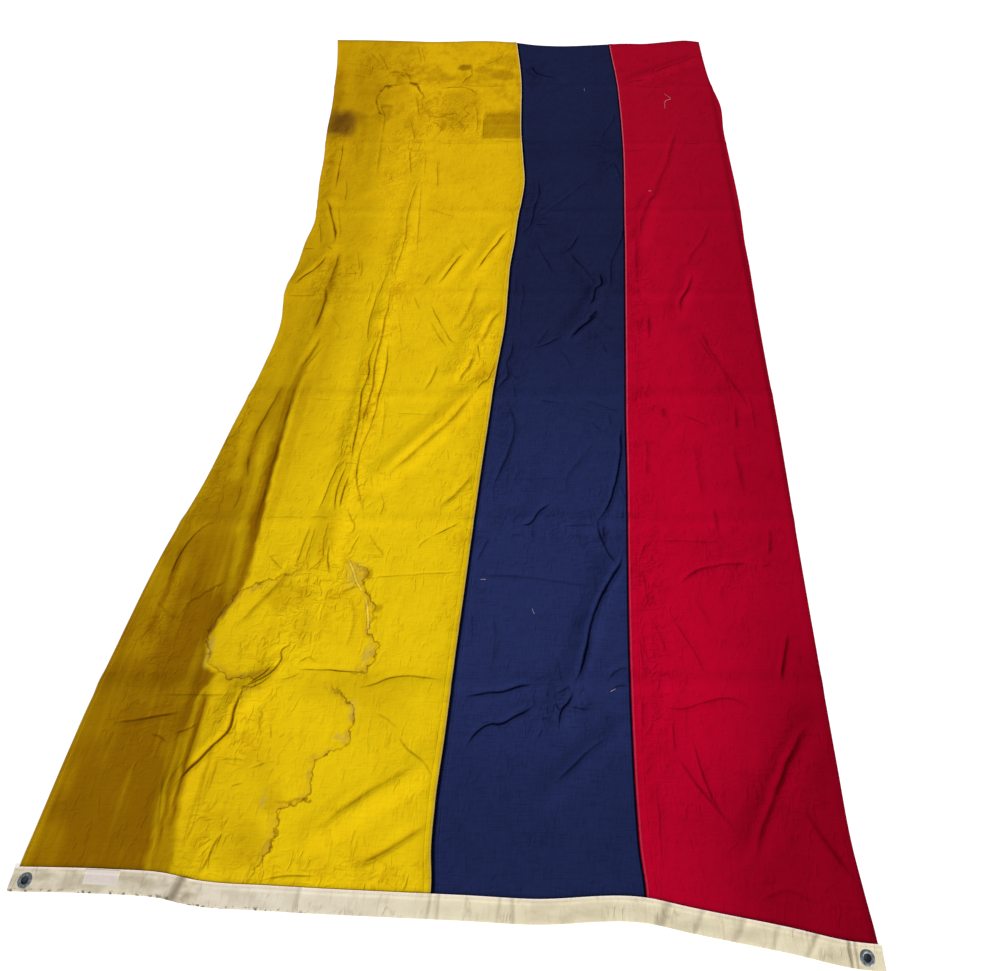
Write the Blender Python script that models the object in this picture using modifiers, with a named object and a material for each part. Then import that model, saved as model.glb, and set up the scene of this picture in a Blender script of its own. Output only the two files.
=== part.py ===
# A three-striped cloth flag laid out on a flat surface: three panels sewn side by side, a folded canvas
# heading along the hoist with a metal eyelet near each end, and a small plain label on the heading.
# Metres, +Z up. X runs across the flag along its hoist, Y runs along the fly, and the origin is on the
# surface under the middle of the flag. The tables give positions as across (X) and along, which is the
# distance from the hoist.

import math

import bmesh
import bpy
import numpy as np

# Driving sizes
middle_along = 1.495  # from the hoist to the origin
cloth = 0.001  # thickness of a panel and of each layer of the heading
gap = 0.0003  # left between pieces that lie on each other
layer = cloth + gap
lap = 0.010  # width of the seams, where an outer panel lies over the middle one
heading_width = 0.0385
tuck = 0.0055  # how far the panels reach into the heading
climb = 0.001  # over this width the heading's upper layer climbs onto the panels
heading_alone = 2 * cloth + gap  # thickness of the folded heading
heading_over_panel = 3 * cloth + 2 * gap  # and with a panel between its layers
fold_sides = 5  # points on the half round of the heading's fold
settle = 0.060  # past the heading the panels come down to the surface over this length
eyelet_radius = 0.0125
eyelet_hole_radius = 0.0066
eyelet_wall = 0.0009
eyelet_flange = 0.0008
eyelet_inset = 0.0175  # from the heading's folded edge to an eyelet's centre
eyelet_steps = 20
cutter_height = 0.03
fly_end = 3.055
fly_reach = 0.25  # the uneven fly edge pulls on the cloth this far in
hoist_reach = 0.9  # and the bent heading this far

# The edges and seams across the flag, from the hoist to the fly
# along, left edge, yellow and blue seam, blue and red seam, right edge
sections = (
    (0.00, -0.762, -0.022, 0.357, 0.747),
    (0.05, -0.762, -0.022, 0.357, 0.747),
    (0.11, -0.760, -0.029, 0.350, 0.742),
    (0.18, -0.757, -0.030, 0.347, 0.736),
    (0.30, -0.750, -0.025, 0.345, 0.736),
    (0.50, -0.732, -0.018, 0.346, 0.739),
    (0.70, -0.709, -0.010, 0.351, 0.742),
    (0.90, -0.670, -0.002, 0.357, 0.747),
    (1.10, -0.643, 0.008, 0.361, 0.751),
    (1.25, -0.620, 0.016, 0.366, 0.751),
    (1.44, -0.609, 0.030, 0.372, 0.753),
    (1.57, -0.625, 0.031, 0.376, 0.755),
    (1.69, -0.614, 0.032, 0.380, 0.758),
    (1.79, -0.613, 0.040, 0.383, 0.758),
    (1.89, -0.605, 0.044, 0.385, 0.762),
    (2.00, -0.617, 0.053, 0.388, 0.765),
    (2.10, -0.631, 0.058, 0.391, 0.765),
    (2.22, -0.641, 0.049, 0.394, 0.763),
    (2.40, -0.664, 0.034, 0.394, 0.761),
    (2.57, -0.678, 0.027, 0.391, 0.768),
    (2.72, -0.696, 0.021, 0.386, 0.748),
    (2.90, -0.720, 0.005, 0.373, 0.736),
    (3.055, -0.749, -0.012, 0.362, 0.732),
)

# The heading's folded edge, which sets the shape of the hoist: across, along
folded_edge = (
    (-0.768, 0.040),
    (-0.600, 0.036),
    (-0.500, 0.030),
    (-0.440, 0.019),
    (-0.300, 0.010),
    (-0.100, 0.001),
    (0.050, -0.005),
    (0.150, -0.010),
    (0.370, -0.010),
    (0.420, -0.020),
    (0.600, -0.052),
    (0.708, -0.073),
    (0.753, -0.077),
)

# How far the fly edge lies past its mean line: across, beyond
fly_edge = (
    (-0.750, 0.012),
    (-0.550, 0.008),
    (-0.400, -0.002),
    (-0.020, -0.010),
    (0.060, -0.030),
    (0.160, -0.038),
    (0.300, -0.029),
    (0.420, -0.018),
    (0.500, -0.020),
    (0.600, -0.004),
    (0.680, 0.007),
    (0.732, -0.004),
)

# Where the heading lifts off the surface, over the eyelets' flanges and in its own folds: across, lift
heading_lift = (
    (-0.768, 0.0011),
    (-0.728, 0.0011),
    (-0.690, 0.0),
    (-0.500, 0.0),
    (-0.460, 0.004),
    (-0.420, 0.001),
    (-0.370, 0.0),
    (-0.280, 0.0),
    (-0.250, 0.003),
    (-0.220, 0.0),
    (0.100, 0.0),
    (0.150, 0.002),
    (0.200, 0.0),
    (0.640, 0.0),
    (0.708, 0.0011),
    (0.753, 0.0011),
)

# The columns of the panels, named by where they meet the hoist
yellow_columns = (-0.762, -0.728, -0.69, -0.64, -0.578, -0.54, -0.5, -0.46, -0.42)
yellow_columns += (-0.37, -0.32, -0.28, -0.25, -0.22, -0.17, -0.12, -0.08)
blue_columns = (0.01, 0.05, 0.1, 0.15, 0.2, 0.25, 0.3)
red_columns = (0.42, 0.46, 0.5, 0.55, 0.6, 0.64, 0.708, 0.747)
heading_ends = (-0.768, 0.753)
label_ends = (-0.64, -0.578)
label_from_fold = (0.0135, 0.0365)  # the label's two long edges, measured from the folded edge
eyelet_places = {"eyelet_left": -0.743, "eyelet_right": 0.725}

# Creases left by storage: the fly was folded into eight equal lengths
first_crease = 0.41
crease_pitch = 0.383
crease_count = 7
crease_height = 0.004
crease_reach = 0.045
rows_between_creases = 3
rows_before_first_crease = 2

# The main folds, each a soft ridge between two points
# from across, from along, to across, to along, height, reach to each side
folds = (
    # yellow panel
    (-0.525, 0.15, -0.505, 1.50, 0.005, 0.050),
    (-0.330, 0.72, -0.325, 1.45, 0.007, 0.050),
    (-0.325, 1.45, -0.285, 2.25, 0.005, 0.045),
    (-0.598, 2.35, -0.580, 2.00, 0.005, 0.045),
    (-0.580, 2.00, -0.525, 1.78, 0.006, 0.045),
    (-0.525, 1.75, -0.600, 1.60, 0.007, 0.045),
    (-0.475, 2.60, -0.450, 2.05, 0.004, 0.045),
    (-0.600, 2.95, -0.400, 2.70, 0.006, 0.055),
    (0.000, 1.85, -0.080, 1.65, 0.006, 0.045),
    (-0.110, 1.75, -0.190, 1.60, 0.005, 0.045),
    (-0.020, 1.46, -0.100, 1.25, 0.006, 0.050),
    (-0.020, 1.20, -0.240, 0.92, 0.008, 0.055),
    (-0.400, 0.43, -0.455, 0.36, 0.006, 0.045),
    (-0.455, 0.36, -0.520, 0.20, 0.005, 0.045),
    (-0.060, 0.25, -0.250, 0.13, 0.005, 0.045),
    # blue panel
    (0.310, 0.68, 0.260, 0.53, 0.007, 0.045),
    (0.260, 0.53, 0.200, 0.34, 0.006, 0.045),
    (0.210, 1.73, 0.285, 1.58, 0.008, 0.045),
    (0.285, 1.55, 0.210, 1.40, 0.008, 0.045),
    (0.070, 2.83, 0.160, 2.76, 0.006, 0.045),
    (0.310, 0.31, 0.180, 0.20, 0.005, 0.045),
    # red panel
    (0.470, 2.00, 0.430, 1.80, 0.006, 0.045),
    (0.570, 1.66, 0.525, 1.50, 0.005, 0.045),
    (0.560, 1.40, 0.660, 1.15, 0.006, 0.050),
    (0.680, 2.90, 0.450, 2.75, 0.007, 0.050),
    (0.690, 0.32, 0.560, 0.12, 0.006, 0.050),
)

# Linear colour, metallic, roughness
finishes = {
    "yellow cotton": ((0.66, 0.44, 0.01), 0.0, 0.85),
    "blue cotton": ((0.015, 0.022, 0.09), 0.0, 0.85),
    "red cotton": ((0.5, 0.002, 0.018), 0.0, 0.85),
    "canvas": ((0.7, 0.64, 0.47), 0.0, 0.9),
    "eyelet metal": ((0.42, 0.44, 0.46), 1.0, 0.4),
    "label tape": ((0.72, 0.66, 0.64), 0.0, 0.8),
}


def through(table, column, at):
    """A smooth curve through one column of a table, against its first column."""
    xs, ys = np.array(table)[:, 0], np.array(table)[:, column]
    slopes = np.gradient(ys, xs)
    at = np.clip(at, xs[0], xs[-1])
    k = np.clip(np.searchsorted(xs, at) - 1, 0, len(xs) - 2)
    width = xs[k + 1] - xs[k]
    t = (at - xs[k]) / width
    start = (1 + 2 * t) * (1 - t) ** 2 * ys[k] + t * (1 - t) ** 2 * width * slopes[k]
    end = t**2 * (3 - 2 * t) * ys[k + 1] + t**2 * (t - 1) * width * slopes[k + 1]
    return start + end


def fade(distance, reach):
    """1 at no distance, 0 at the reach and past it, level at both."""
    return 0.5 + 0.5 * np.cos(math.pi * np.clip(distance / reach, 0, 1))


def fold_height(across, along):
    """How high the folds and creases raise the cloth: the ridges added together."""
    height = np.zeros_like(across)
    for k in range(crease_count):
        crease = first_crease + k * crease_pitch
        height += crease_height * fade(np.abs(along - crease), crease_reach)
    for from_across, from_along, to_across, to_along, top, reach in folds:
        run = (to_across - from_across, to_along - from_along)
        length2 = run[0] ** 2 + run[1] ** 2
        past = (across - from_across) * run[0] + (along - from_along) * run[1]
        nearest = np.clip(past / length2, 0, 1)
        away = np.hypot(across - from_across - nearest * run[0], along - from_along - nearest * run[1])
        height += top * fade(away, reach)
    return height


def folded_edge_at(across):
    return through(folded_edge, 1, across)


def lift_at(across):
    table = np.array(heading_lift)
    return np.interp(across, table[:, 0], table[:, 1])


def panel_rows():
    """Distances from the hoist of the panels' rows: close together at the heading and at each crease."""
    inner = heading_width
    rows = [inner - tuck, inner, inner + settle / 2, inner + settle]
    previous = rows[-1]
    for k in range(crease_count + 1):
        crease = first_crease + k * crease_pitch
        last = crease > fly_end - crease_reach
        until = fly_end if last else crease - crease_reach
        count = rows_before_first_crease if k == 0 else rows_between_creases
        rows += list(np.linspace(previous, until, count + 2)[1:])
        if not last:
            rows += [crease, crease + crease_reach]
            previous = rows[-1]
    return np.array(rows)


def material(name):
    made = bpy.data.materials.get(name) or bpy.data.materials.new(name)
    made.use_nodes = True
    colour, metallic, roughness = finishes[name]
    shader = made.node_tree.nodes["Principled BSDF"]
    shader.inputs["Base Color"].default_value = (*colour, 1)
    shader.inputs["Metallic"].default_value = metallic
    shader.inputs["Roughness"].default_value = roughness
    made.diffuse_color = (*colour, 1)
    return made


def collection(name, hidden=False):
    made = bpy.data.collections.new(name)
    bpy.context.scene.collection.children.link(made)
    made.hide_render = hidden
    return made


def add_object(name, mesh, home, finish=None):
    made = bpy.data.objects.new(name, mesh)
    home.objects.link(made)
    if finish:
        mesh.materials.append(material(finish))
    return made


def sheet(name, across, along, height, home, finish, outward):
    """A sheet of cloth from a grid of points, thickened to the side that outward gives."""
    rows, columns = across.shape
    bm = bmesh.new()
    bmesh.ops.create_grid(bm, x_segments=columns - 1, y_segments=rows - 1, size=0.5)
    for vertex in bm.verts:
        i = round((vertex.co.y + 0.5) * (rows - 1))
        j = round((vertex.co.x + 0.5) * (columns - 1))
        vertex.co = (across[i, j], along[i, j] - middle_along, height[i, j])
    mesh = bpy.data.meshes.new(name)
    bm.to_mesh(mesh)
    bm.free()
    mesh.shade_smooth()
    made = add_object(name, mesh, home, finish)
    # The same diagonals on every sheet keep the gap where one lies on another.
    split = made.modifiers.new("Triangles", "TRIANGULATE")
    split.quad_method = "FIXED"
    thick = made.modifiers.new("Thickness", "SOLIDIFY")
    thick.thickness = cloth
    thick.offset = outward
    thick.use_even_offset = True
    return made


def line(column, past=0.0):
    """One of the table's edges or seams at each row, or a line that runs this far past it."""
    return through(sections, column, panel_rows()[:, None]) + past


def spread(hoist_columns, left, right):
    """Columns that keep their share of the width between two lines."""
    hoist = np.array(hoist_columns)[None, :]
    return left + (hoist - left[0]) / (right[0] - left[0]) * (right - left)


def panel(name, across, ride, home, finish):
    """One panel from its columns, and how far each of them rides over the middle panel."""
    rows = panel_rows()[:, None]
    hoist_pull = folded_edge_at(across) * fade(rows - heading_width, hoist_reach)
    fly_pull = through(fly_edge, 1, across) * fade(fly_end - rows, fly_reach)
    along = rows + hoist_pull + fly_pull
    held = fade(rows - heading_width, settle)
    height = fold_height(across, along) * (1 - held) + (lift_at(across) + layer) * held
    sheet(name, across, along, height + np.array(ride), home, finish, 1)


def make_panels(home):
    left, left_seam, right_seam, right = (line(column) for column in (1, 2, 3, 4))
    foot, climbed = left_seam - 2 * lap, left_seam - lap
    yellow = np.hstack((spread(yellow_columns, left, foot), foot, climbed, left_seam))
    ride = [0] * (yellow.shape[1] - 2) + [layer, layer]
    panel("panel_yellow", yellow, ride, home, "yellow cotton")
    middle = spread(blue_columns, left_seam, right_seam)
    blue = np.hstack((left_seam - lap, left_seam, middle, right_seam, right_seam + lap))
    panel("panel_blue", blue, [0] * blue.shape[1], home, "blue cotton")
    foot, climbed = right_seam + 2 * lap, right_seam + lap
    red = np.hstack((right_seam, climbed, foot, spread(red_columns, foot, right)))
    ride = [layer, layer] + [0] * (red.shape[1] - 2)
    panel("panel_red", red, ride, home, "red cotton")


def climb_foot():
    """Where the upper layer starts to climb, one cloth's thickness clear of the panels' edges."""
    return heading_width - tuck - cloth - climb


def heading_profile():
    """Half round at the fold, then two layers that part near the inner edge to take the panels."""
    radius = heading_alone / 2
    points = [(heading_width, 0.0)]
    for k in range(fold_sides):
        angle = -math.pi / 2 - math.pi * k / (fold_sides - 1)
        points.append((radius + radius * math.cos(angle), radius + radius * math.sin(angle)))
    foot = climb_foot()
    return points + [
        (foot, heading_alone),
        (foot + climb, heading_over_panel),
        (heading_width, heading_over_panel),
    ]


def make_heading(home, cutters):
    left_seam, right_seam = sections[0][2], sections[0][3]
    over_seam = (left_seam - lap, left_seam, right_seam, right_seam + lap)
    beside_seam = (left_seam - 2 * lap, right_seam + 2 * lap)
    stations = heading_ends + yellow_columns + blue_columns + red_columns + over_seam + beside_seam
    stations = np.array(sorted(stations))
    profile = heading_profile()
    across = np.repeat(stations[None, :], len(profile), axis=0)
    along = np.array([from_fold + folded_edge_at(stations) for from_fold, _ in profile])
    seam_lift = np.where(np.isin(stations, over_seam), layer, 0)
    over_panel = [seam_lift if z == heading_over_panel else 0 for _, z in profile]
    height = np.array([z + lift_at(stations) + more for (_, z), more in zip(profile, over_panel)])
    heading = sheet("heading", across, along, height, home, "canvas", -1)
    for name, across_at in eyelet_places.items():
        cutter = add_cutter("hole for " + name, across_at, cutters)
        hole = heading.modifiers.new("Hole for " + name, "BOOLEAN")
        hole.object = cutter
        hole.operation = "DIFFERENCE"
        hole.solver = "EXACT"


def eyelet_centre(across):
    along = float(folded_edge_at(across)) + eyelet_inset
    return across, along - middle_along


def add_cutter(name, across, cutters):
    bm = bmesh.new()
    radius = eyelet_hole_radius + eyelet_wall + gap
    bmesh.ops.create_cone(
        bm, cap_ends=True, segments=eyelet_steps, radius1=radius, radius2=radius, depth=cutter_height
    )
    mesh = bpy.data.meshes.new(name)
    bm.to_mesh(mesh)
    bm.free()
    cutter = add_object(name, mesh, cutters)
    cutter.location = (*eyelet_centre(across), 0)
    cutter.hide_render = True
    cutter.display_type = "WIRE"
    return cutter


def make_eyelets(home):
    """A barrel with a flat flange under the canvas and one over it, turned from one closed section."""
    hole, rim = eyelet_hole_radius, eyelet_radius
    barrel = hole + eyelet_wall
    soft = eyelet_flange / 2  # rounding of the rims
    top = 2 * (eyelet_flange + gap) + heading_alone
    section = (
        (hole, top - soft),
        (hole + soft, top),
        (rim - soft, top),
        (rim, top - soft),
        (rim, top - eyelet_flange),
        (barrel, top - eyelet_flange),
        (barrel, eyelet_flange),
        (rim, eyelet_flange),
        (rim, 0.0),
        (hole, 0.0),
    )
    for name, across in eyelet_places.items():
        mesh = bpy.data.meshes.new(name)
        loop = [(k, (k + 1) % len(section)) for k in range(len(section))]
        mesh.from_pydata([(r, 0, z) for r, z in section], loop, [])
        eyelet = add_object(name, mesh, home, "eyelet metal")
        eyelet.location = (*eyelet_centre(across), 0)
        turned = eyelet.modifiers.new("Turned", "SCREW")
        turned.steps = turned.render_steps = eyelet_steps
        turned.use_merge_vertices = True
        turned.merge_threshold = 0.00001


def make_label(home):
    """The label follows the heading's upper layer, whose step it crosses."""
    foot = climb_foot() - gap
    profile = (
        (label_from_fold[0], heading_alone),
        (foot, heading_alone),
        (foot + climb, heading_over_panel),
        (label_from_fold[1], heading_over_panel),
    )
    ends = np.array(label_ends)
    across = np.repeat(ends[None, :], len(profile), axis=0)
    along = np.array([from_fold + folded_edge_at(ends) for from_fold, _ in profile])
    height = np.array([z + gap + lift_at(ends) for _, z in profile])
    sheet("label", across, along, height, home, "label tape", 1)


def main():
    for old in list(bpy.data.objects):
        bpy.data.objects.remove(old, do_unlink=True)
    home = collection("flag")
    cutters = collection("cutters", hidden=True)
    make_panels(home)
    make_heading(home, cutters)
    make_eyelets(home)
    make_label(home)


main()
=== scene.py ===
# A worn cotton flag in three stripes, laid out on the floor: yellow, blue and red panels sewn side by
# side, a canvas heading along the hoist, metal eyelets, stitching, a plain label and some loose lint.
# Metres throughout. "Across" is X. "Along" is the distance from the hoist, which is Y plus middleAlong.

import math

import bmesh
import bpy
import numpy as np
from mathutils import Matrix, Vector


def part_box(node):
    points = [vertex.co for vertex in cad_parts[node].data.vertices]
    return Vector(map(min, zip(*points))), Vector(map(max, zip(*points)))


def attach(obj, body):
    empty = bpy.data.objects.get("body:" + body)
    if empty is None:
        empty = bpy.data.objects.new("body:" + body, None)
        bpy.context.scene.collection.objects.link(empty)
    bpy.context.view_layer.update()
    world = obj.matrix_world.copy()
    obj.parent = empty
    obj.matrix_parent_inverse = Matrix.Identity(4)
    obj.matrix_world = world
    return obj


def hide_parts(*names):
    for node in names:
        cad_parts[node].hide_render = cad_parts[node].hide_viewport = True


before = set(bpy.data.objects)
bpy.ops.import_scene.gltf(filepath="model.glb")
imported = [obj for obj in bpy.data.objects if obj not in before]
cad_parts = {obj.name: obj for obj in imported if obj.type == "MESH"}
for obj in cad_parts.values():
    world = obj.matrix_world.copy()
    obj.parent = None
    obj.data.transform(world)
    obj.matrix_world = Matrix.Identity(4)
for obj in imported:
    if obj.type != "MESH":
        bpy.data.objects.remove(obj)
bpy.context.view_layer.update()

print("frame loaded:", ", ".join(sorted(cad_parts)))

# how the flag lies

lay = {
    "middleAlong": 1.495,  # from the hoist to the origin
    "cloth": 0.001,
    "gap": 0.0003,  # between layers
    "lap": 0.010,  # width of the seams
    "headingWidth": 0.0385,
    "tuck": 0.0055,  # how far the panels reach under the heading
    "settle": 0.060,  # past the heading the panels come down over this length
    "flyEnd": 3.055,
    "flyReach": 0.25,
    "hoistReach": 0.9,
    "firstCrease": 0.41,  # storage creases
    "creasePitch": 0.383,
    "creaseCount": 7,
    "creaseHeight": 0.0022,  # lower and narrower than the solids', which have 0.004 and 0.045
    "creaseReach": 0.030,
}
layer = lay["cloth"] + lay["gap"]
mm = 0.001  # a millimetre, in metres

# along, left edge, yellow and blue seam, blue and red seam, right edge
sections = (
    (0.00, -0.762, -0.022, 0.357, 0.747),
    (0.05, -0.762, -0.022, 0.357, 0.747),
    (0.11, -0.760, -0.029, 0.350, 0.742),
    (0.18, -0.757, -0.030, 0.347, 0.736),
    (0.30, -0.750, -0.025, 0.345, 0.736),
    (0.50, -0.732, -0.018, 0.346, 0.739),
    (0.70, -0.709, -0.010, 0.351, 0.742),
    (0.90, -0.670, -0.002, 0.357, 0.747),
    (1.10, -0.643, 0.008, 0.361, 0.751),
    (1.25, -0.620, 0.016, 0.366, 0.751),
    (1.44, -0.609, 0.030, 0.372, 0.753),
    (1.57, -0.625, 0.031, 0.376, 0.755),
    (1.69, -0.614, 0.032, 0.380, 0.758),
    (1.79, -0.613, 0.040, 0.383, 0.758),
    (1.89, -0.605, 0.044, 0.385, 0.762),
    (2.00, -0.617, 0.053, 0.388, 0.765),
    (2.10, -0.631, 0.058, 0.391, 0.765),
    (2.22, -0.641, 0.049, 0.394, 0.763),
    (2.40, -0.664, 0.034, 0.394, 0.761),
    (2.57, -0.678, 0.027, 0.391, 0.768),
    (2.72, -0.696, 0.021, 0.386, 0.748),
    (2.90, -0.720, 0.005, 0.373, 0.736),
    (3.055, -0.749, -0.012, 0.362, 0.732),
)
# the heading's folded edge: across, along
foldedEdge = (
    (-0.768, 0.040), (-0.600, 0.036), (-0.500, 0.030), (-0.440, 0.019), (-0.300, 0.010),
    (-0.100, 0.001), (0.050, -0.005), (0.150, -0.010), (0.370, -0.010), (0.420, -0.020),
    (0.600, -0.052), (0.708, -0.073), (0.753, -0.077),
)
# how far the fly edge lies past its mean line: across, beyond
flyEdge = (
    (-0.750, 0.012), (-0.550, 0.008), (-0.400, -0.002), (-0.020, -0.010), (0.060, -0.030),
    (0.160, -0.038), (0.300, -0.029), (0.420, -0.018), (0.500, -0.020), (0.600, -0.004),
    (0.680, 0.007), (0.732, -0.004),
)
# where the heading lifts off the floor: across, lift
headingLift = (
    (-0.768, 0.0011), (-0.728, 0.0011), (-0.690, 0.0), (-0.500, 0.0), (-0.460, 0.004),
    (-0.420, 0.001), (-0.370, 0.0), (-0.280, 0.0), (-0.250, 0.003), (-0.220, 0.0),
    (0.100, 0.0), (0.150, 0.002), (0.200, 0.0), (0.640, 0.0), (0.708, 0.0011), (0.753, 0.0011),
)
# the solids' soft ridges, the same values, each between two points:
# from across, from along, to across, to along, height, reach to each side
ridges = (
    # yellow
    (-0.525, 0.15, -0.505, 1.50, 0.005, 0.050),
    (-0.330, 0.72, -0.325, 1.45, 0.007, 0.050),
    (-0.325, 1.45, -0.285, 2.25, 0.005, 0.045),
    (-0.598, 2.35, -0.580, 2.00, 0.005, 0.045),
    (-0.580, 2.00, -0.525, 1.78, 0.006, 0.045),
    (-0.525, 1.75, -0.600, 1.60, 0.007, 0.045),
    (-0.475, 2.60, -0.450, 2.05, 0.004, 0.045),
    (-0.600, 2.95, -0.400, 2.70, 0.006, 0.055),
    (0.000, 1.85, -0.080, 1.65, 0.006, 0.045),
    (-0.110, 1.75, -0.190, 1.60, 0.005, 0.045),
    (-0.020, 1.46, -0.100, 1.25, 0.006, 0.050),
    (-0.020, 1.20, -0.240, 0.92, 0.008, 0.055),
    (-0.400, 0.43, -0.455, 0.36, 0.006, 0.045),
    (-0.455, 0.36, -0.520, 0.20, 0.005, 0.045),
    (-0.060, 0.25, -0.250, 0.13, 0.005, 0.045),
    # blue
    (0.310, 0.68, 0.260, 0.53, 0.007, 0.045),
    (0.260, 0.53, 0.200, 0.34, 0.006, 0.045),
    (0.210, 1.73, 0.285, 1.58, 0.008, 0.045),
    (0.285, 1.55, 0.210, 1.40, 0.008, 0.045),
    (0.070, 2.83, 0.160, 2.76, 0.006, 0.045),
    (0.310, 0.31, 0.180, 0.20, 0.005, 0.045),
    # red
    (0.470, 2.00, 0.430, 1.80, 0.006, 0.045),
    (0.570, 1.66, 0.525, 1.50, 0.005, 0.045),
    (0.560, 1.40, 0.660, 1.15, 0.006, 0.050),
    (0.680, 2.90, 0.450, 2.75, 0.007, 0.050),
    (0.690, 0.32, 0.560, 0.12, 0.006, 0.050),
)


def through(table, column, at):
    # a smooth curve through one column of a table against its first: cubic pieces with shared slopes
    table = np.asarray(table, float)
    xs, ys = table[:, 0], table[:, column]
    slopes = np.gradient(ys, xs)
    at = np.clip(at, xs[0], xs[-1])
    k = np.clip(np.searchsorted(xs, at) - 1, 0, len(xs) - 2)
    width = xs[k + 1] - xs[k]
    t = (at - xs[k]) / width
    start = (1 + 2 * t) * (1 - t) ** 2 * ys[k] + t * (1 - t) ** 2 * width * slopes[k]
    end = t**2 * (3 - 2 * t) * ys[k + 1] + t**2 * (t - 1) * width * slopes[k + 1]
    return start + end


def straight(table, column, at):
    # one column of a table against its first, joined by straight lines
    table = np.array(table)
    return np.interp(at, table[:, 0], table[:, column])


def placed(across, along, height):
    # points of the part from places on the flag: (across, along - middleAlong, height)
    return np.stack(np.broadcast_arrays(across, along - lay["middleAlong"], height), -1)


def around(count):
    # this many equal angles of a turn
    return np.arange(count) * 2 * math.pi / count


def fade(distance, reach):
    # 1 at no distance, 0 at the reach, half a cosine wave between
    return 0.5 + 0.5 * np.cos(math.pi * np.clip(distance / reach, 0, 1))


def step(value, low, high):
    # 0 below low, 1 above high, a cubic step between
    t = np.clip((value - low) / (high - low), 0, 1)
    return t * t * (3 - 2 * t)


def hills(x, y, sizeX, sizeY, seed):
    # smooth random hills from -1 to 1: random heights on a lattice, joined by cubic steps
    count = 97
    heights = np.random.default_rng(seed).uniform(-1, 1, (count, count))
    u, v = x / sizeX + 500.5, y / sizeY + 500.5
    i, j = np.floor(u).astype(int), np.floor(v).astype(int)
    s, t = u - i, v - j
    s, t = s * s * (3 - 2 * s), t * t * (3 - 2 * t)
    i, j, i1, j1 = i % count, j % count, (i + 1) % count, (j + 1) % count
    low = heights[i, j] * (1 - s) + heights[i1, j] * s
    high = heights[i, j1] * (1 - s) + heights[i1, j1] * s
    return low * (1 - t) + high * t


def wandered(value, x, a, *waves):
    # a value with random hills added to it, each of a height, two sizes and a seed
    for height, sizeX, sizeA, seed in waves:
        value = value + height * hills(x, a, sizeX, sizeA, seed)
    return value


def ridgeHeight(across, along):
    # the solids' soft ridges, and their storage creases made lower, added together
    height = np.zeros(np.broadcast(across, along).shape)
    for k in range(lay["creaseCount"]):
        crease = lay["firstCrease"] + k * lay["creasePitch"] + 0.006 * hills(across, 0 * along, 0.2, 1, k)
        height += lay["creaseHeight"] * fade(np.abs(along - crease), lay["creaseReach"])
    for x0, a0, x1, a1, top, reach in ridges:
        dx, da = x1 - x0, a1 - a0
        share = np.clip(((across - x0) * dx + (along - a0) * da) / (dx * dx + da * da), 0, 1)
        height += top * fade(np.hypot(across - x0 - share * dx, along - a0 - share * da), reach)
    return height


def headingLiftAt(across):
    # how far the heading, and the panels' ends in it, lie off the floor
    return straight(headingLift, 1, across)


def smoothLine(points):
    # the points joined by a smooth curve against the distance run, with pieces of about a centimetre
    points = np.asarray(points, float)
    run = np.concatenate([[0], np.cumsum(np.hypot(*np.diff(points, axis=0).T))])
    if len(points) == 2:
        return points
    at = np.linspace(0, run[-1], max(3, int(run[-1] / 0.012)))
    table = np.column_stack([run, points])
    return np.column_stack([through(table, 1, at), through(table, 2, at)])


def creaseLine(points):
    # a crease's smooth line in metres, from its places in millimetres
    return smoothLine(np.array(points) / 1000)


def nearestOn(line, x, a):
    # for each place: the distance to a line, signed positive on its right, and how far along it is met
    best, side, share = np.full(x.shape, np.inf), np.zeros(x.shape), np.zeros(x.shape)
    lengths = np.hypot(*np.diff(line, axis=0).T)
    total, start = lengths.sum(), 0.0
    for (x0, a0), (x1, a1), length in zip(line[:-1], line[1:], lengths):
        dx, da = (x1 - x0) / length, (a1 - a0) / length
        t = np.clip((x - x0) * dx + (a - a0) * da, 0, length)
        away = np.hypot(x - x0 - t * dx, a - a0 - t * da)
        closer = away < best
        best = np.where(closer, away, best)
        side = np.where(closer, (x - x0) * da - (a - a0) * dx, side)
        share = np.where(closer, (start + t) / total, share)
        start += length
    return best * np.where(side < 0, -1, 1), share


def taperedEnds(share, reach):
    # nearly 0 at both ends of a line, 1 from this share of its length on
    return step(np.minimum(share, 1 - share), -0.02, reach)


def nearer(s, shows, offset, strength):
    # the distance and strength of this line where it is the nearest so far, and what was there elsewhere
    closer = np.abs(s) < np.abs(offset)
    return np.where(closer, s, offset), np.where(closer, shows, strength)


# fine creases, all in millimetres:
# dip, tip and width, then the places that the line runs through, across and along

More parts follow.
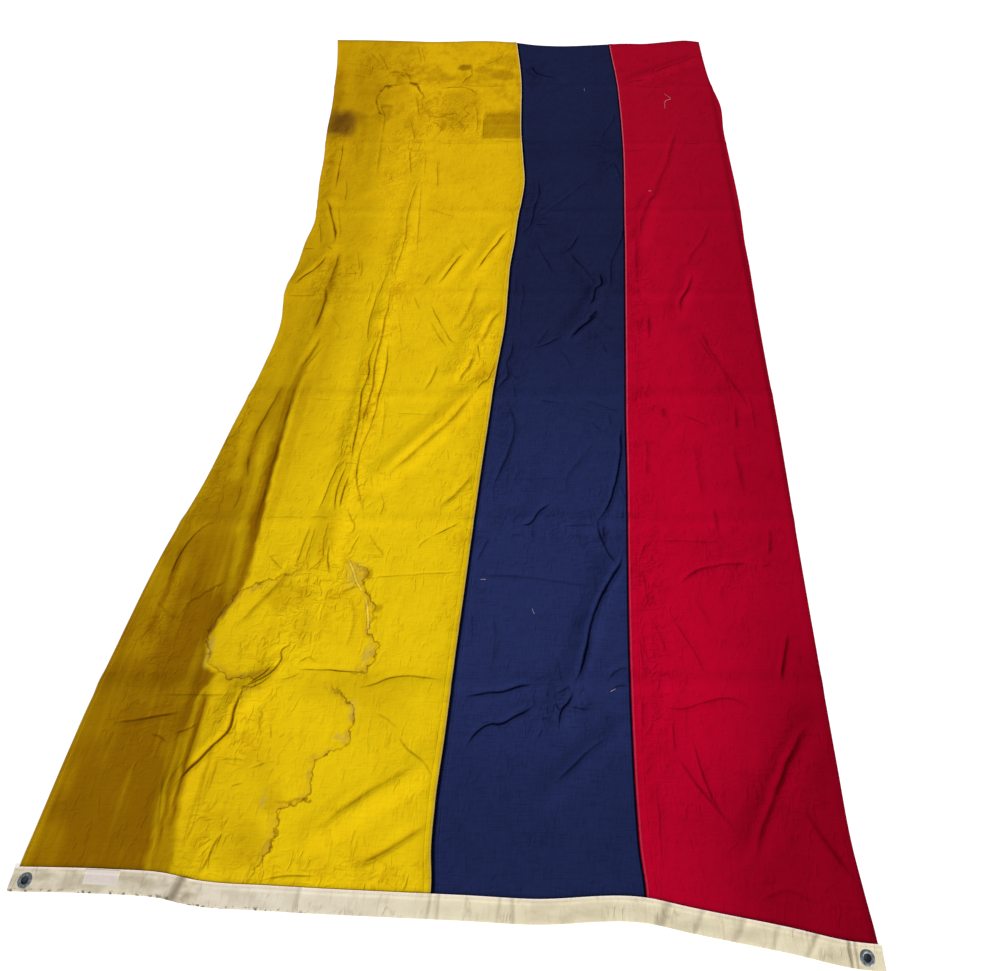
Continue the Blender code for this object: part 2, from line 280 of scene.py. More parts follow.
yellowCreases = (
    # long fold at the left, and what runs beside it
    (1.2, -1.6, 7, (-512, 1600), (-502, 1550), (-502, 1460), (-509, 1400)),
    (2.2, -1.2, 9, (-483, 1395), (-492, 1340), (-506, 1290), (-513, 1260)),
    (-0.8, 0.8, 5, (-469, 1355), (-490, 1295), (-506, 1262)),
    (0.9, -1.4, 9, (-510, 1250), (-514, 1150), (-515, 1000), (-514, 850), (-511, 700)),
    (0.5, -0.5, 5, (-514, 410), (-514, 300), (-511, 140)),
    (0.8, -0.8, 6, (-545, 1220), (-556, 1175), (-566, 1130), (-579, 1065), (-586, 1000)),
    (0.8, -0.8, 6, (-584, 985), (-577, 955), (-571, 915)),
    (0.6, -0.5, 5, (-580, 900), (-575, 850), (-583, 820)),
    (1.2, -0.6, 5, (-605, 790), (-628, 783), (-654, 752), (-667, 715), (-674, 660), (-676, 625)),
    (0.6, -0.4, 5, (-624, 1100), (-633, 1060)),
    # central bundle
    (1.2, 0.4, 4, (-353, 1600), (-354, 1520), (-357, 1450), (-350, 1380), (-343, 1350)),
    (1.4, -0.8, 4.5, (-320, 1420), (-325, 1350), (-333, 1300), (-326, 1250), (-333, 1170), (-326, 1100),
     (-325, 1040), (-321, 960), (-317, 920)),
    (1.2, 0.8, 4.5, (-316, 1620), (-312, 1500), (-311, 1400), (-314, 1290), (-308, 1180), (-314, 1110),
     (-311, 1030), (-317, 980)),
    (1.3, -0.6, 4, (-300, 1420), (-287, 1320), (-283, 1270), (-288, 1180), (-290, 1100), (-298, 1040),
     (-306, 960), (-300, 900), (-287, 865), (-274, 830), (-262, 770)),
    (1.4, 0.6, 4, (-345, 970), (-360, 925), (-370, 860), (-380, 810)),
    (1.2, -0.6, 3.5, (-330, 950), (-341, 880), (-337, 810)),
    (1.4, 0.6, 3.5, (-318, 920), (-326, 870), (-326, 820)),
    (1.0, 0.4, 3.5, (-309, 825), (-292, 793), (-282, 777), (-292, 755)),
    (0.9, 0.3, 3.5, (-250, 846), (-268, 827)),
    (0.8, 0.4, 3.5, (-242, 876), (-226, 840), (-232, 800)),
    (1.2, 0.5, 4, (-331, 735), (-331, 690), (-320, 655)),
    (0.8, -0.5, 4, (-335, 705), (-352, 682), (-375, 657)),
    (0.8, 0.4, 4, (-375, 790), (-378, 730), (-384, 665)),
    (0.8, -0.4, 4, (-385, 790), (-395, 720), (-400, 660)),
    (0.7, 0.5, 4, (-345, 790), (-345, 720), (-338, 680)),
    (0.7, 0.5, 3.5, (-268, 755), (-287, 700)),
    (0.7, 0.4, 4, (-283, 1200), (-268, 1140), (-262, 1070), (-262, 1000)),
    (0.6, 0.3, 4, (-276, 1165), (-262, 1135), (-268, 1100)),
    (1.0, -0.5, 4.5, (-355, 2300), (-345, 2240), (-336, 2180), (-330, 2135)),
    (1.2, 0.5, 4.5, (-297, 2130), (-309, 2000), (-311, 1910), (-302, 1820), (-306, 1740), (-313, 1660),
     (-317, 1600)),
    (0.8, -0.4, 4, (-290, 2130), (-279, 2000), (-272, 1900), (-266, 1820), (-256, 1730)),
    (0.8, -0.5, 4.5, (-330, 1680), (-343, 1600), (-350, 1530)),
    (0.7, -0.5, 4, (-243, 2190), (-237, 2120), (-231, 2060)),
    (0.7, 0.4, 4, (-375, 1620), (-372, 1550), (-382, 1500)),
    (0.6, 0.3, 4, (-283, 1500), (-272, 1440), (-258, 1385), (-256, 1330)),
    # left edge, middle
    (1.8, -0.9, 6, (-592, 2010), (-572, 1970), (-555, 1920), (-535, 1865), (-523, 1820), (-519, 1775)),
    (0.8, 0.5, 4.5, (-548, 1980), (-531, 1920), (-514, 1850), (-505, 1790)),
    (0.8, -0.5, 4.5, (-594, 1900), (-574, 1840), (-560, 1775)),
    (1.0, 0.5, 4, (-612, 1766), (-578, 1763)),
    (1.2, 0.3, 4, (-538, 1768), (-518, 1748)),
    (2.2, -0.6, 5, (-530, 1730), (-545, 1685), (-560, 1655), (-580, 1635), (-604, 1590)),
    (1.0, -0.6, 6, (-499, 1750), (-499, 1660), (-505, 1600)),
    (0.8, 0.4, 4.5, (-447, 1760), (-434, 1710), (-421, 1660)),
    (0.7, -0.4, 4.5, (-430, 1720), (-415, 1660), (-420, 1610)),
    (0.8, 0.5, 3.5, (-463, 1650), (-417, 1653)),
    (0.8, 0.4, 4, (-622, 1553), (-560, 1552), (-515, 1557)),
    (0.7, 0.3, 4.5, (-480, 1482), (-458, 1452), (-435, 1415), (-440, 1385)),
    (1.4, -0.8, 4, (-594, 2345), (-584, 2265), (-579, 2190), (-573, 2120), (-569, 2060)),
    (0.8, -0.5, 4.5, (-545, 2120), (-532, 2060), (-529, 2000)),
    (0.7, 0.5, 4, (-624, 2340), (-617, 2300)),
    # towards the blue seam
    (2.2, -0.4, 5, (22, 1855), (4, 1825), (-16, 1780), (-42, 1725), (-71, 1655)),
    (1.6, -1.4, 7, (-111, 1745), (-140, 1690), (-160, 1640), (-180, 1595)),
    (0.8, -0.4, 4, (-136, 1820), (-115, 1775), (-94, 1738)),
    (0.8, -0.5, 5, (-206, 1645), (-219, 1595)),
    (0.9, -0.9, 10, (-55, 1620), (-68, 1560), (-83, 1480), (-110, 1410)),
    (2.0, -1.8, 9, (18, 1500), (-4, 1455), (-21, 1400), (-35, 1355)),
    (-1.2, -0.9, 3.5, (-41, 1360), (-32, 1298)),
    (1.2, -1.2, 9, (-47, 1330), (-58, 1280), (-72, 1245), (-83, 1210)),
    (1.0, 0.6, 4, (-196, 1530), (-170, 1470), (-143, 1415), (-115, 1370), (-85, 1355)),
    (0.9, -0.5, 4, (-187, 1450), (-160, 1400), (-125, 1345)),
    (0.6, -0.5, 4, (-244, 1550), (-218, 1490)),
    (0.8, -0.5, 6, (-145, 1290), (-152, 1240), (-172, 1190)),
    (1.0, 0.6, 4, (12, 1310), (4, 1260), (-6, 1225), (-25, 1200)),
    (1.2, -0.6, 4, (-5, 1232), (-19, 1215), (-30, 1185)),
    (1.8, -1.2, 11, (-27, 1195), (-55, 1145), (-92, 1085), (-125, 1045), (-160, 1000), (-200, 950),
     (-240, 900)),
    (0.9, -0.8, 10, (-18, 930), (-50, 875), (-95, 825)),
    (1.4, 0.5, 3.5, (-37, 790), (-70, 769), (-100, 753)),
    (0.6, -0.4, 3.5, (-38, 838), (-56, 820)),
    (0.5, 0.4, 4, (-100, 753), (-122, 735), (-130, 715)),
    (0.6, 0.5, 4, (-20, 661), (-120, 655), (-240, 645)),
    (0.5, 0.4, 4, (-130, 1107), (-190, 1112), (-245, 1115)),
    (0.6, -0.5, 8, (-155, 1920), (-200, 1937), (-255, 1965)),
    # the stained part near the heading
    (-1.6, 0.8, 3, (-287, 697), (-265, 660), (-247, 625), (-232, 606)),
    (-1.6, 0.8, 3, (-226, 600), (-217, 565), (-212, 535), (-208, 513)),
    (2.0, 0.4, 4, (-369, 503), (-376, 486), (-390, 480), (-382, 465), (-386, 447), (-395, 430), (-415, 415),
     (-436, 405), (-444, 395)),
    (2.8, 0.6, 4.5, (-440, 403), (-446, 385), (-448, 353), (-450, 327), (-453, 315), (-475, 286),
     (-498, 253), (-524, 212)),
    (2.0, 0.5, 3.5, (-436, 405), (-420, 420), (-405, 432), (-398, 445)),
    (1.6, 0.5, 3, (-430, 397), (-410, 407), (-392, 424)),
    (1.4, 0.5, 3, (-352, 440), (-300, 438), (-250, 435), (-195, 434)),
    (1.4, 0.7, 4, (-215, 400), (-185, 406), (-150, 420), (-95, 423), (-40, 415)),
    (0.6, 0.4, 3.5, (-380, 415), (-355, 420), (-335, 432)),
    (0.6, 0.4, 4, (-345, 455), (-320, 465), (-310, 455)),
    (0.7, 0.4, 4, (-610, 387), (-560, 386), (-505, 384), (-470, 389)),
    (1.2, 0.6, 4.5, (-555, 354), (-600, 345), (-640, 336), (-690, 331)),
    (0.9, 0.5, 4, (-512, 334), (-530, 317), (-560, 311)),
    (0.8, 0.4, 4, (-607, 311), (-588, 306), (-568, 292)),
    (0.7, 0.5, 3.5, (-458, 260), (-430, 263), (-405, 259)),
    (0.7, 0.4, 3.5, (-374, 330), (-366, 298)),
    (0.7, 0.4, 3.5, (-392, 302), (-388, 290)),
    (0.6, 0.4, 3.5, (-393, 245), (-365, 256)),
    (0.6, 0.4, 3.5, (-422, 214), (-402, 219)),
    (0.6, 0.4, 3.5, (-470, 147), (-470, 157), (-445, 159)),
    (1.0, -0.6, 5, (-412, 136), (-426, 113), (-430, 88), (-447, 57)),
    (0.6, 0.4, 4, (-430, 115), (-450, 90)),
    (0.7, 0.4, 3.5, (-495, 92), (-485, 80), (-470, 74)),
    (2.0, 1.2, 3.5, (-226, 64), (-290, 63), (-345, 52)),
    (0.6, -0.4, 5, (-560, 240), (-545, 190), (-533, 130)),
    (0.5, 0.4, 4, (-475, 280), (-476, 220), (-473, 150), (-478, 110)),
    (0.5, -0.4, 4, (-460, 260), (-462, 200)),
    (0.7, 0.4, 4, (-170, 352), (-140, 335), (-118, 318)),
    (0.9, 0.5, 4, (-122, 312), (-100, 285), (-60, 255), (-36, 225)),
    (0.8, -0.8, 12, (-70, 256), (-100, 235), (-155, 205), (-205, 168), (-255, 130)),
    (0.7, -0.7, 11, (-30, 155), (-100, 110), (-170, 75)),
    (0.5, -0.6, 11, (-405, 680), (-435, 620), (-470, 570), (-500, 520)),
    (0.5, 0.5, 9, (-255, 600), (-245, 540), (-250, 480)),
    (0.5, 0.4, 6, (-290, 610), (-262, 625), (-250, 630)),
    # towards the fly
    (1.2, 0.6, 4.5, (-580, 2990), (-545, 2920), (-522, 2860), (-500, 2800)),
    (0.9, -0.5, 5, (-600, 2960), (-570, 2910), (-545, 2860)),
    (1.4, 0.4, 4, (-462, 2865), (-440, 2820), (-418, 2780), (-402, 2720)),
    (1.2, 0.4, 4.5, (-505, 2800), (-470, 2805), (-440, 2775), (-420, 2750)),
    (1.3, 0.5, 4.5, (-395, 2720), (-368, 2680), (-342, 2640)),
    (0.9, -0.6, 5, (-375, 2640), (-360, 2580), (-348, 2520), (-336, 2485)),
    (0.7, 0.4, 5, (-340, 2620), (-322, 2560), (-305, 2490)),
    (0.8, -0.4, 4, (-420, 3020), (-398, 2950), (-388, 2900), (-385, 2870)),
    (0.8, 0.5, 4, (-400, 3020), (-380, 2930), (-368, 2870)),
    (0.8, -0.6, 5, (-505, 2620), (-490, 2550), (-472, 2500), (-465, 2430), (-460, 2360)),
    (0.9, 0.5, 6, (-462, 2400), (-458, 2320), (-449, 2210), (-443, 2130)),
    (1.0, -0.6, 4.5, (-372, 2480), (-362, 2430), (-350, 2385), (-342, 2340)),
    (0.8, 0.4, 4, (-395, 2325), (-370, 2330), (-350, 2325)),
    (0.8, -0.5, 4, (-262, 2360), (-247, 2330)),
    (0.8, -0.5, 4, (-248, 2240), (-244, 2190), (-240, 2140)),
    (0.7, 0.4, 4, (-292, 2260), (-286, 2180), (-280, 2120)),
    (1.0, 0.5, 4, (-150, 2600), (-135, 2520), (-128, 2440), (-135, 2370)),
    (0.8, 0.4, 4, (-108, 2520), (-104, 2410), (-97, 2340)),
    (-0.9, 0.8, 4, (-205, 2712), (-120, 2705), (-20, 2706)),
    (1.0, 0.6, 4, (-55, 2352), (-25, 2342), (20, 2335)),
    (0.7, -0.5, 4, (-700, 2880), (-640, 2875), (-590, 2860), (-565, 2820)),
    (0.7, 0.5, 4.5, (-640, 2800), (-600, 2780), (-560, 2765)),
    (0.7, 0.4, 4, (-650, 3010), (-622, 2950)),
    (0.6, 0.4, 4, (-20, 2930), (-12, 2880), (0, 2830)),
    (0.5, 0.4, 5, (-563, 2350), (-540, 2300), (-530, 2235)),
    (0.6, 0.4, 4.5, (-60, 2990), (-75, 2920), (-110, 2860), (-170, 2870)),
    # crumples along the storage creases
    (0.8, 0.3, 4, (-395, 800), (-370, 803), (-345, 795)),
    (0.5, 0.3, 4, (-500, 800), (-440, 802), (-400, 798)),
    (0.4, 0.3, 4, (-485, 1163), (-400, 1158), (-335, 1155)),
    (0.4, 0.3, 4, (-450, 2312), (-380, 2313)),
    (0.5, 0.3, 4, (-290, 2325), (-150, 2329), (0, 2325)),
)
blueCreases = (
    (2.6, 0.6, 4.5, (346, 1090), (344, 1000), (333, 920), (307, 830), (287, 795), (280, 770)),
    (1.6, 0.6, 4, (290, 810), (283, 780), (300, 720), (328, 668)),
    (1.4, 0.5, 4, (294, 780), (297, 750)),
    (3.4, 1.0, 4.5, (338, 715), (333, 680), (316, 652), (296, 616), (280, 576), (264, 528), (254, 480),
     (240, 428), (221, 396)),
    (2.4, 0.8, 4, (227, 394), (217, 368), (204, 354), (201, 335), (195, 316)),
    (1.6, 0.5, 3.5, (193, 368), (202, 352)),
    (1.4, 0.5, 3.5, (220, 361), (258, 357)),
    (1.0, 0.5, 3.5, (194, 388), (222, 402)),
    (2.2, 0.8, 4, (5, 382), (52, 390), (80, 392), (120, 404), (150, 407)),
    (2.2, 0.8, 4, (16, 283), (40, 316), (60, 328), (84, 329), (116, 345), (152, 367)),
    (0.8, 0.4, 3.5, (42, 330), (62, 334)),
    (0.9, 0.4, 3.5, (155, 298), (168, 320)),
    (0.9, 0.4, 3.5, (163, 338), (186, 342)),
    (1.0, 0.5, 5, (305, 307), (275, 290), (235, 255), (190, 215)),
    (0.6, 0.4, 6, (0, 652), (80, 651), (180, 640), (285, 623)),
    (1.0, 0.5, 4, (300, 418), (320, 438), (343, 441)),
    (1.0, 0.5, 4, (303, 395), (318, 404), (338, 405)),
    (1.8, 0.6, 4.5, (98, 783), (125, 783), (145, 818), (172, 842)),
    (1.0, 0.4, 4, (78, 755), (110, 756)),
    (0.9, 0.4, 4, (130, 772), (133, 748)),
    (0.8, 0.4, 4, (200, 778), (240, 781), (285, 778)),
    (0.8, -0.4, 5, (30, 752), (20, 720), (6, 680)),
    (0.6, 0.3, 5, (53, 570), (61, 475), (52, 430)),
    (0.8, 0.3, 4, (5, 570), (14, 500)),
    (0.7, 0.5, 10, (270, 1015), (238, 960), (214, 920), (210, 860)),
    (0.5, 0.3, 4, (70, 909), (140, 911), (200, 913)),
    (1.4, 0.5, 4.5, (52, 1400), (53, 1320), (41, 1290), (50, 1248), (26, 1205), (16, 1160)),
    (0.8, 0.4, 4.5, (70, 1500), (76, 1410)),
    (0.8, 0.3, 4.5, (40, 1272), (82, 1222)),
    (1.0, -0.4, 4.5, (64, 1218), (74, 1160)),
    (1.2, 0.5, 5, (40, 1165), (58, 1134), (72, 1090), (73, 1040), (61, 980), (48, 940), (34, 900),
     (40, 820)),
    (0.9, 0.4, 4.5, (256, 1158), (300, 1138), (350, 1115)),
    (0.9, -0.4, 4.5, (245, 1135), (270, 1115)),
    (0.9, -0.4, 4.5, (270, 1090), (292, 1060)),
    (0.8, 0.3, 4.5, (318, 1115), (320, 1070)),
    (0.7, 0.4, 5, (135, 1158), (190, 1147)),
    (1.0, 0.4, 4, (338, 900), (350, 850)),
    (0.9, 0.4, 4, (345, 820), (338, 795)),
    (2.6, 0.8, 5.5, (292, 1492), (286, 1470), (252, 1431), (208, 1368)),
    (1.6, 0.6, 4, (190, 1391), (142, 1355), (104, 1340)),
    (0.8, 0.4, 7, (156, 1425), (120, 1350)),
    (0.8, -0.4, 5, (176, 1352), (205, 1308), (224, 1258)),
    (0.9, -0.5, 5, (303, 1360), (318, 1325)),
    (1.8, 0.6, 4.5, (102, 2130), (108, 2030), (96, 1975), (88, 1890), (55, 1825)),
    (1.6, 0.5, 4, (94, 1878), (120, 1882), (146, 1881)),
    (0.8, 0.4, 7, (280, 2130), (205, 2030), (145, 1958), (118, 1910)),
    (0.8, 0.4, 5, (136, 1952), (195, 1952)),
    (1.3, -0.5, 4.5, (104, 1800), (125, 1745), (147, 1690), (160, 1645)),
    (1.6, 0.5, 4.5, (240, 1832), (220, 1780), (190, 1733)),
    (1.2, -0.8, 8, (202, 1745), (235, 1695), (262, 1655), (294, 1585)),
    (2.8, 0.6, 5, (300, 1665), (306, 1600), (292, 1580), (281, 1530), (262, 1500)),
    (2.4, 0.6, 5, (292, 1495), (268, 1452)),
    (0.8, 0.4, 4.5, (310, 1590), (322, 1550), (318, 1520)),
    (1.6, 0.5, 4.5, (380, 1930), (378, 1840), (360, 1770), (340, 1705), (334, 1620), (328, 1570)),
    (1.0, 0.4, 4, (50, 1650), (54, 1560)),
    (1.0, -0.4, 4.5, (68, 1620), (78, 1550), (68, 1480)),
    (2.2, 0.6, 4.5, (48, 2860), (80, 2797), (122, 2772), (160, 2753)),
    (1.0, 0.4, 4.5, (16, 2860), (50, 2800), (82, 2780)),
    (1.0, 0.4, 4.5, (374, 2540), (362, 2470), (340, 2420), (322, 2368), (313, 2325)),
    (1.4, 0.4, 4, (260, 2315), (310, 2315), (334, 2295), (318, 2266)),
    (1.2, 0.4, 4, (308, 2262), (326, 2238)),
    (1.2, 0.4, 4, (388, 2278), (368, 2250)),
    (1.4, 0.4, 4.5, (357, 2226), (370, 2180), (382, 2110)),
    (0.6, 0.4, 5, (50, 2322), (100, 2333)),
    (0.6, 0.4, 6, (330, 2660), (365, 2665)),
    (0.6, 0.3, 5, (70, 2980), (85, 2955)),
)
redCreases = (
    (1.2, 0.6, 6, (628, 681), (555, 678), (492, 659), (460, 628)),
    (0.8, 0.4, 5, (672, 682), (650, 674)),
    (0.9, -0.7, 8, (683, 775), (673, 700)),
    (1.4, -1.0, 6, (684, 518), (668, 460), (652, 412)),
    (0.9, 0.8, 4, (440, 552), (482, 474), (496, 430)),
    (0.8, 0.6, 4, (397, 550), (426, 466)),
    (0.5, 0.5, 8, (490, 610), (520, 530)),
    (2.0, -1.4, 8, (700, 333), (675, 306), (642, 258), (602, 186), (571, 130), (557, 78)),
    (1.0, 0.7, 4, (458, 308), (474, 242), (495, 178), (532, 130)),
    (1.0, -0.6, 4.5, (424, 276), (460, 220), (492, 178), (528, 136)),
    (1.0, 0.5, 4, (426, 335), (425, 275)),
    (0.7, 0.5, 4.5, (402, 362), (450, 358), (490, 370), (546, 380), (594, 352)),
    (1.0, -0.7, 7, (652, 182), (682, 130), (730, 56)),
    (0.4, 0.3, 6, (545, 18), (602, 42), (666, 16)),
    (0.8, 0.5, 4, (382, 660), (390, 578)),
    (0.8, 0.5, 4, (366, 510), (374, 434)),
    (0.9, 0.5, 4, (366, 380), (366, 315)),
    (0.8, 0.5, 4, (395, 740), (382, 710), (372, 680)),
    (0.7, 0.4, 4, (386, 220), (388, 130), (390, 50)),
    (0.8, -0.5, 5, (440, 1920), (430, 1810)),
    (0.9, -0.9, 11, (420, 1820), (415, 1720), (412, 1620)),
    (1.4, -1.2, 7, (580, 1645), (558, 1570), (535, 1530), (533, 1470)),
    (0.6, -0.6, 9, (655, 1880), (625, 1800), (583, 1729), (565, 1680)),
    (0.9, -0.8, 7, (440, 1475), (434, 1375)),
    (0.8, 1.4, 8, (579, 1432), (592, 1360), (619, 1288), (646, 1216), (686, 1118)),
    (0.6, -0.8, 8, (561, 1396), (592, 1324), (628, 1252), (640, 1180)),
    (0.8, -0.6, 8, (648, 1140), (641, 1060)),
    (0.9, 0.5, 9, (457, 1135), (457, 1100)),
    (0.7, 0.6, 4, (508, 1110), (576, 1071)),
    (0.6, 0.5, 9, (529, 1010), (534, 860)),
    (0.6, 0.5, 6, (412, 1040), (402, 910)),
    (0.5, -0.6, 11, (628, 1010), (637, 850)),
    (0.7, -0.5, 8, (558, 830), (560, 760)),
    (1.3, -0.8, 6, (725, 2955), (670, 2900), (620, 2865), (570, 2835), (540, 2810), (505, 2785)),
    (1.0, 0.5, 5, (521, 2807), (536, 2834)),
    (1.3, 0.5, 6, (502, 2752), (460, 2742), (415, 2728)),
    (1.0, 0.5, 6, (430, 2722), (480, 2705), (560, 2699), (575, 2690)),
    (1.2, -1.2, 11, (600, 2430), (575, 2350), (555, 2270), (540, 2200), (510, 2120), (490, 2040),
     (465, 1980), (445, 1910), (435, 1850)),
    (0.6, 0.4, 5, (405, 2291), (475, 2290)),
    (0.6, 0.4, 5, (600, 2325), (670, 2325)),
    (0.5, 0.4, 5, (645, 2120), (640, 2020)),
    (0.6, 0.4, 5, (682, 1189), (691, 1126), (687, 1045)),
    (0.5, 0.4, 5, (415, 741), (560, 736)),
)

# closed outlines of old damp stains, the inside on the right of the line
tideMarks = (
    ((-0.29, 0.70), (-0.45, 0.64), (-0.51, 0.61), (-0.55, 0.52), (-0.53, 0.45), (-0.48, 0.42), (-0.42, 0.42),
     (-0.37, 0.45), (-0.34, 0.44), (-0.20, 0.43), (-0.18, 0.49), (-0.21, 0.52), (-0.20, 0.57), (-0.24, 0.63),
     (-0.23, 0.66)),
    ((-0.27, 0.41), (-0.21, 0.36), (-0.21, 0.29), (-0.27, 0.26), (-0.27, 0.19), (-0.32, 0.17), (-0.32, 0.11),
     (-0.35, 0.05), (-0.44, 0.05), (-0.44, 0.40)),
)
# parts of those outlines that show: across, along, reach
tideShows = (
    (-0.47, 0.63, 0.10), (-0.53, 0.52, 0.09), (-0.47, 0.42, 0.07), (-0.19, 0.49, 0.08), (-0.23, 0.61, 0.09),
    (-0.22, 0.34, 0.09), (-0.26, 0.24, 0.07), (-0.31, 0.17, 0.07), (-0.33, 0.10, 0.06),
)


def signedInside(outline, x, a):
    # distance to a closed outline, positive inside it; inside means crossed an odd number of times
    closed = np.array(outline + outline[:1])
    away, inside = np.full(x.shape, 1.0), np.zeros(x.shape, bool)
    for (x0, a0), (x1, a1) in zip(closed[:-1], closed[1:]):
        dx, da = x1 - x0, a1 - a0
        t = np.clip(((x - x0) * dx + (a - a0) * da) / (dx * dx + da * da), 0, 1)
        away = np.minimum(away, np.hypot(x - x0 - t * dx, a - a0 - t * da))
        if da:
            inside ^= ((a0 > a) != (a1 > a)) & (x < x0 + (a - a0) / da * dx)
    return np.where(inside, away, -away)


cloth = {
    "deepen": 1.15,  # how much deeper than their tables the fine creases are
    "narrowest": 0.006,  # narrower creases are this wide in the mesh, and the finish draws them finer
    "layers": 4,  # sets of creases that the finish looks up apart from one another
    "apart": 2.5 * mm,  # room between two creases of one layer, for each millimetre of both widths
    "samples": 30,  # points of a crease that are compared for that room
    "loose": 0.0012,  # the cloth lies this far off the floor between its edges
    "looseFrom": 0.03,  # and comes down to it over this distance from an edge
    "softened": 0.0004,  # how roundly it meets the floor
    "swells": ((0.13, 0.17, 0.0008), (0.055, 0.075, 0.0004), (0.020, 0.028, 0.00012)),  # sizes, height
    "hem": (0.011, 0.0007),  # width, how much thicker
    "hemSlope": 0.0025,
    "pucker": (0.018, 0.0011, 0.040),  # length, height, reach from the seam
    "puckerWidth": 0.05,
}
# small hills that make the crease lines wander: height, size across, size along, seed
creaseWander = {
    "across": ((0.0013, 0.024, 0.030, 40), (0.0006, 0.010, 0.010, 41)),
    "along": ((0.0013, 0.024, 0.024, 42),),
}


def layersOf(creases):
    # Each crease's place among a few layers: the first where it lies clear of the creases already there,
    # or else the one with most room. Only creases of one layer share a distance, so none blurs another.
    chosen, shapes = [], []
    for dip, tip, width, *points in creases:
        line = creaseLine(points)
        at = np.linspace(0, len(line) - 1, cloth["samples"])
        shape = np.column_stack([np.interp(at, range(len(line)), line[:, k]) for k in (0, 1)])
        room = np.ones(cloth["layers"])
        for other, otherWidth, layerNumber in shapes:
            apart = np.hypot(*(shape[:, None] - other[None]).transpose(2, 0, 1)).min()
            room[layerNumber] = min(room[layerNumber], apart - cloth["apart"] * (width + otherWidth))
        clear = np.flatnonzero(room > 0)
        chosen.append(int(clear[0]) if len(clear) else int(room.argmax()))
        shapes.append((shape, width, chosen[-1]))
    return chosen


def creaseRelief(creases, layers, across, along):
    # Each crease is a smooth line with a groove along it between two low shoulders (dip), a step that
    # is higher on its right (tip), or both, deeper here and shallower there. Returns the height, and for
    # the finish each layer's distance to its nearest crease, as if each crease were 4 mm wide, and how
    # strongly that crease's painted shade shows, below nought for a painted highlight.
    height = np.zeros(across.shape)
    offset = np.full((cloth["layers"], *across.shape), 0.02)
    strength = np.zeros(offset.shape)
    wanderX = wandered(across, across, along, *creaseWander["across"])
    wanderA = wandered(along, across, along, *creaseWander["along"])
    uneven = 1 + 0.35 * hills(across, along, 0.035, 0.035, 43)
    for (dip, tip, width, *points), k in zip(creases, layers):
        line = creaseLine(points)
        narrow = mm * width
        reach = max(4.5 * width * mm, 0.018)
        near = (across > line[:, 0].min() - reach) & (across < line[:, 0].max() + reach)
        near &= (along > line[:, 1].min() - reach) & (along < line[:, 1].max() + reach)
        if not near.any():
            continue
        s, share = nearestOn(line, wanderX[near], wanderA[near])
        w = max(narrow, cloth["narrowest"])
        taper = taperedEnds(share, 0.25) * uneven[near]
        groove = -np.exp(-((s / w) ** 2)) + 0.45 * np.exp(-(((np.abs(s) - 2 * w) / w) ** 2))
        lean = 1.65 * (s / w) * np.exp(-((s / w) ** 2))
        height[near] += mm * cloth["deepen"] * narrow / w * taper * (dip * groove + tip * lean)
        s = s * 0.004 / narrow
        shows = taper * min(1.7, ((abs(dip) + abs(tip)) / 2.5) ** 1.2, (4.4 / width) ** 1.4 * 1.7)
        shows = shows * (1 - step(np.abs(s), 0.006, 0.011))
        if dip < -1.5:  # a sharp ridge gets a painted highlight, which the finish reads from a strength below nought
            shows = -shows
        offset[k][near], strength[k][near] = nearer(s, shows, offset[k][near], strength[k][near])
    return height, offset, strength


allCreases = yellowCreases + blueCreases + redCreases
creaseLayers = layersOf(allCreases)


def lie(across, rows):
    # Where the cloth lies: pulled along by the bent heading and the uneven fly, raised by its ridges,
    # creases, swells and puckers, and brought level where the heading holds it.
    across, rows = np.broadcast_arrays(across, rows)
    along = rows + through(foldedEdge, 1, across) * fade(rows - lay["headingWidth"], lay["hoistReach"])
    along = along + through(flyEdge, 1, across) * fade(lay["flyEnd"] - rows, lay["flyReach"])
    held = fade(rows - lay["headingWidth"], lay["settle"])
    left, leftSeam, rightSeam, right = (through(sections, k, rows) for k in (1, 2, 3, 4))
    edge = np.minimum(np.minimum(across - left, right - across), lay["flyEnd"] - rows)
    relief, offset, strength = creaseRelief(allCreases, creaseLayers, across, along)
    free = cloth["loose"] * (1 - fade(edge, cloth["looseFrom"]))
    for k, (sizeX, sizeY, height) in enumerate(cloth["swells"]):
        free = free + height * hills(across, along, sizeX, sizeY, 20 + k)
    length, tall, reach = cloth["pucker"]
    for k, seam in enumerate((leftSeam, rightSeam)):
        gathered = hills(across, along, cloth["puckerWidth"], length, 30 + k)
        free = free + tall * gathered * fade(np.abs(across - seam), reach)
    width, thick = cloth["hem"]
    free = free + thick * (1 - step(edge, width - cloth["hemSlope"], width))
    free = free + ridgeHeight(across, along) + relief
    free = 0.5 * (free + np.sqrt(free * free + cloth["softened"] ** 2))
    height = free * (1 - held) + (headingLiftAt(across) + layer) * held
    return along, height, offset, strength * (1 - held**3)


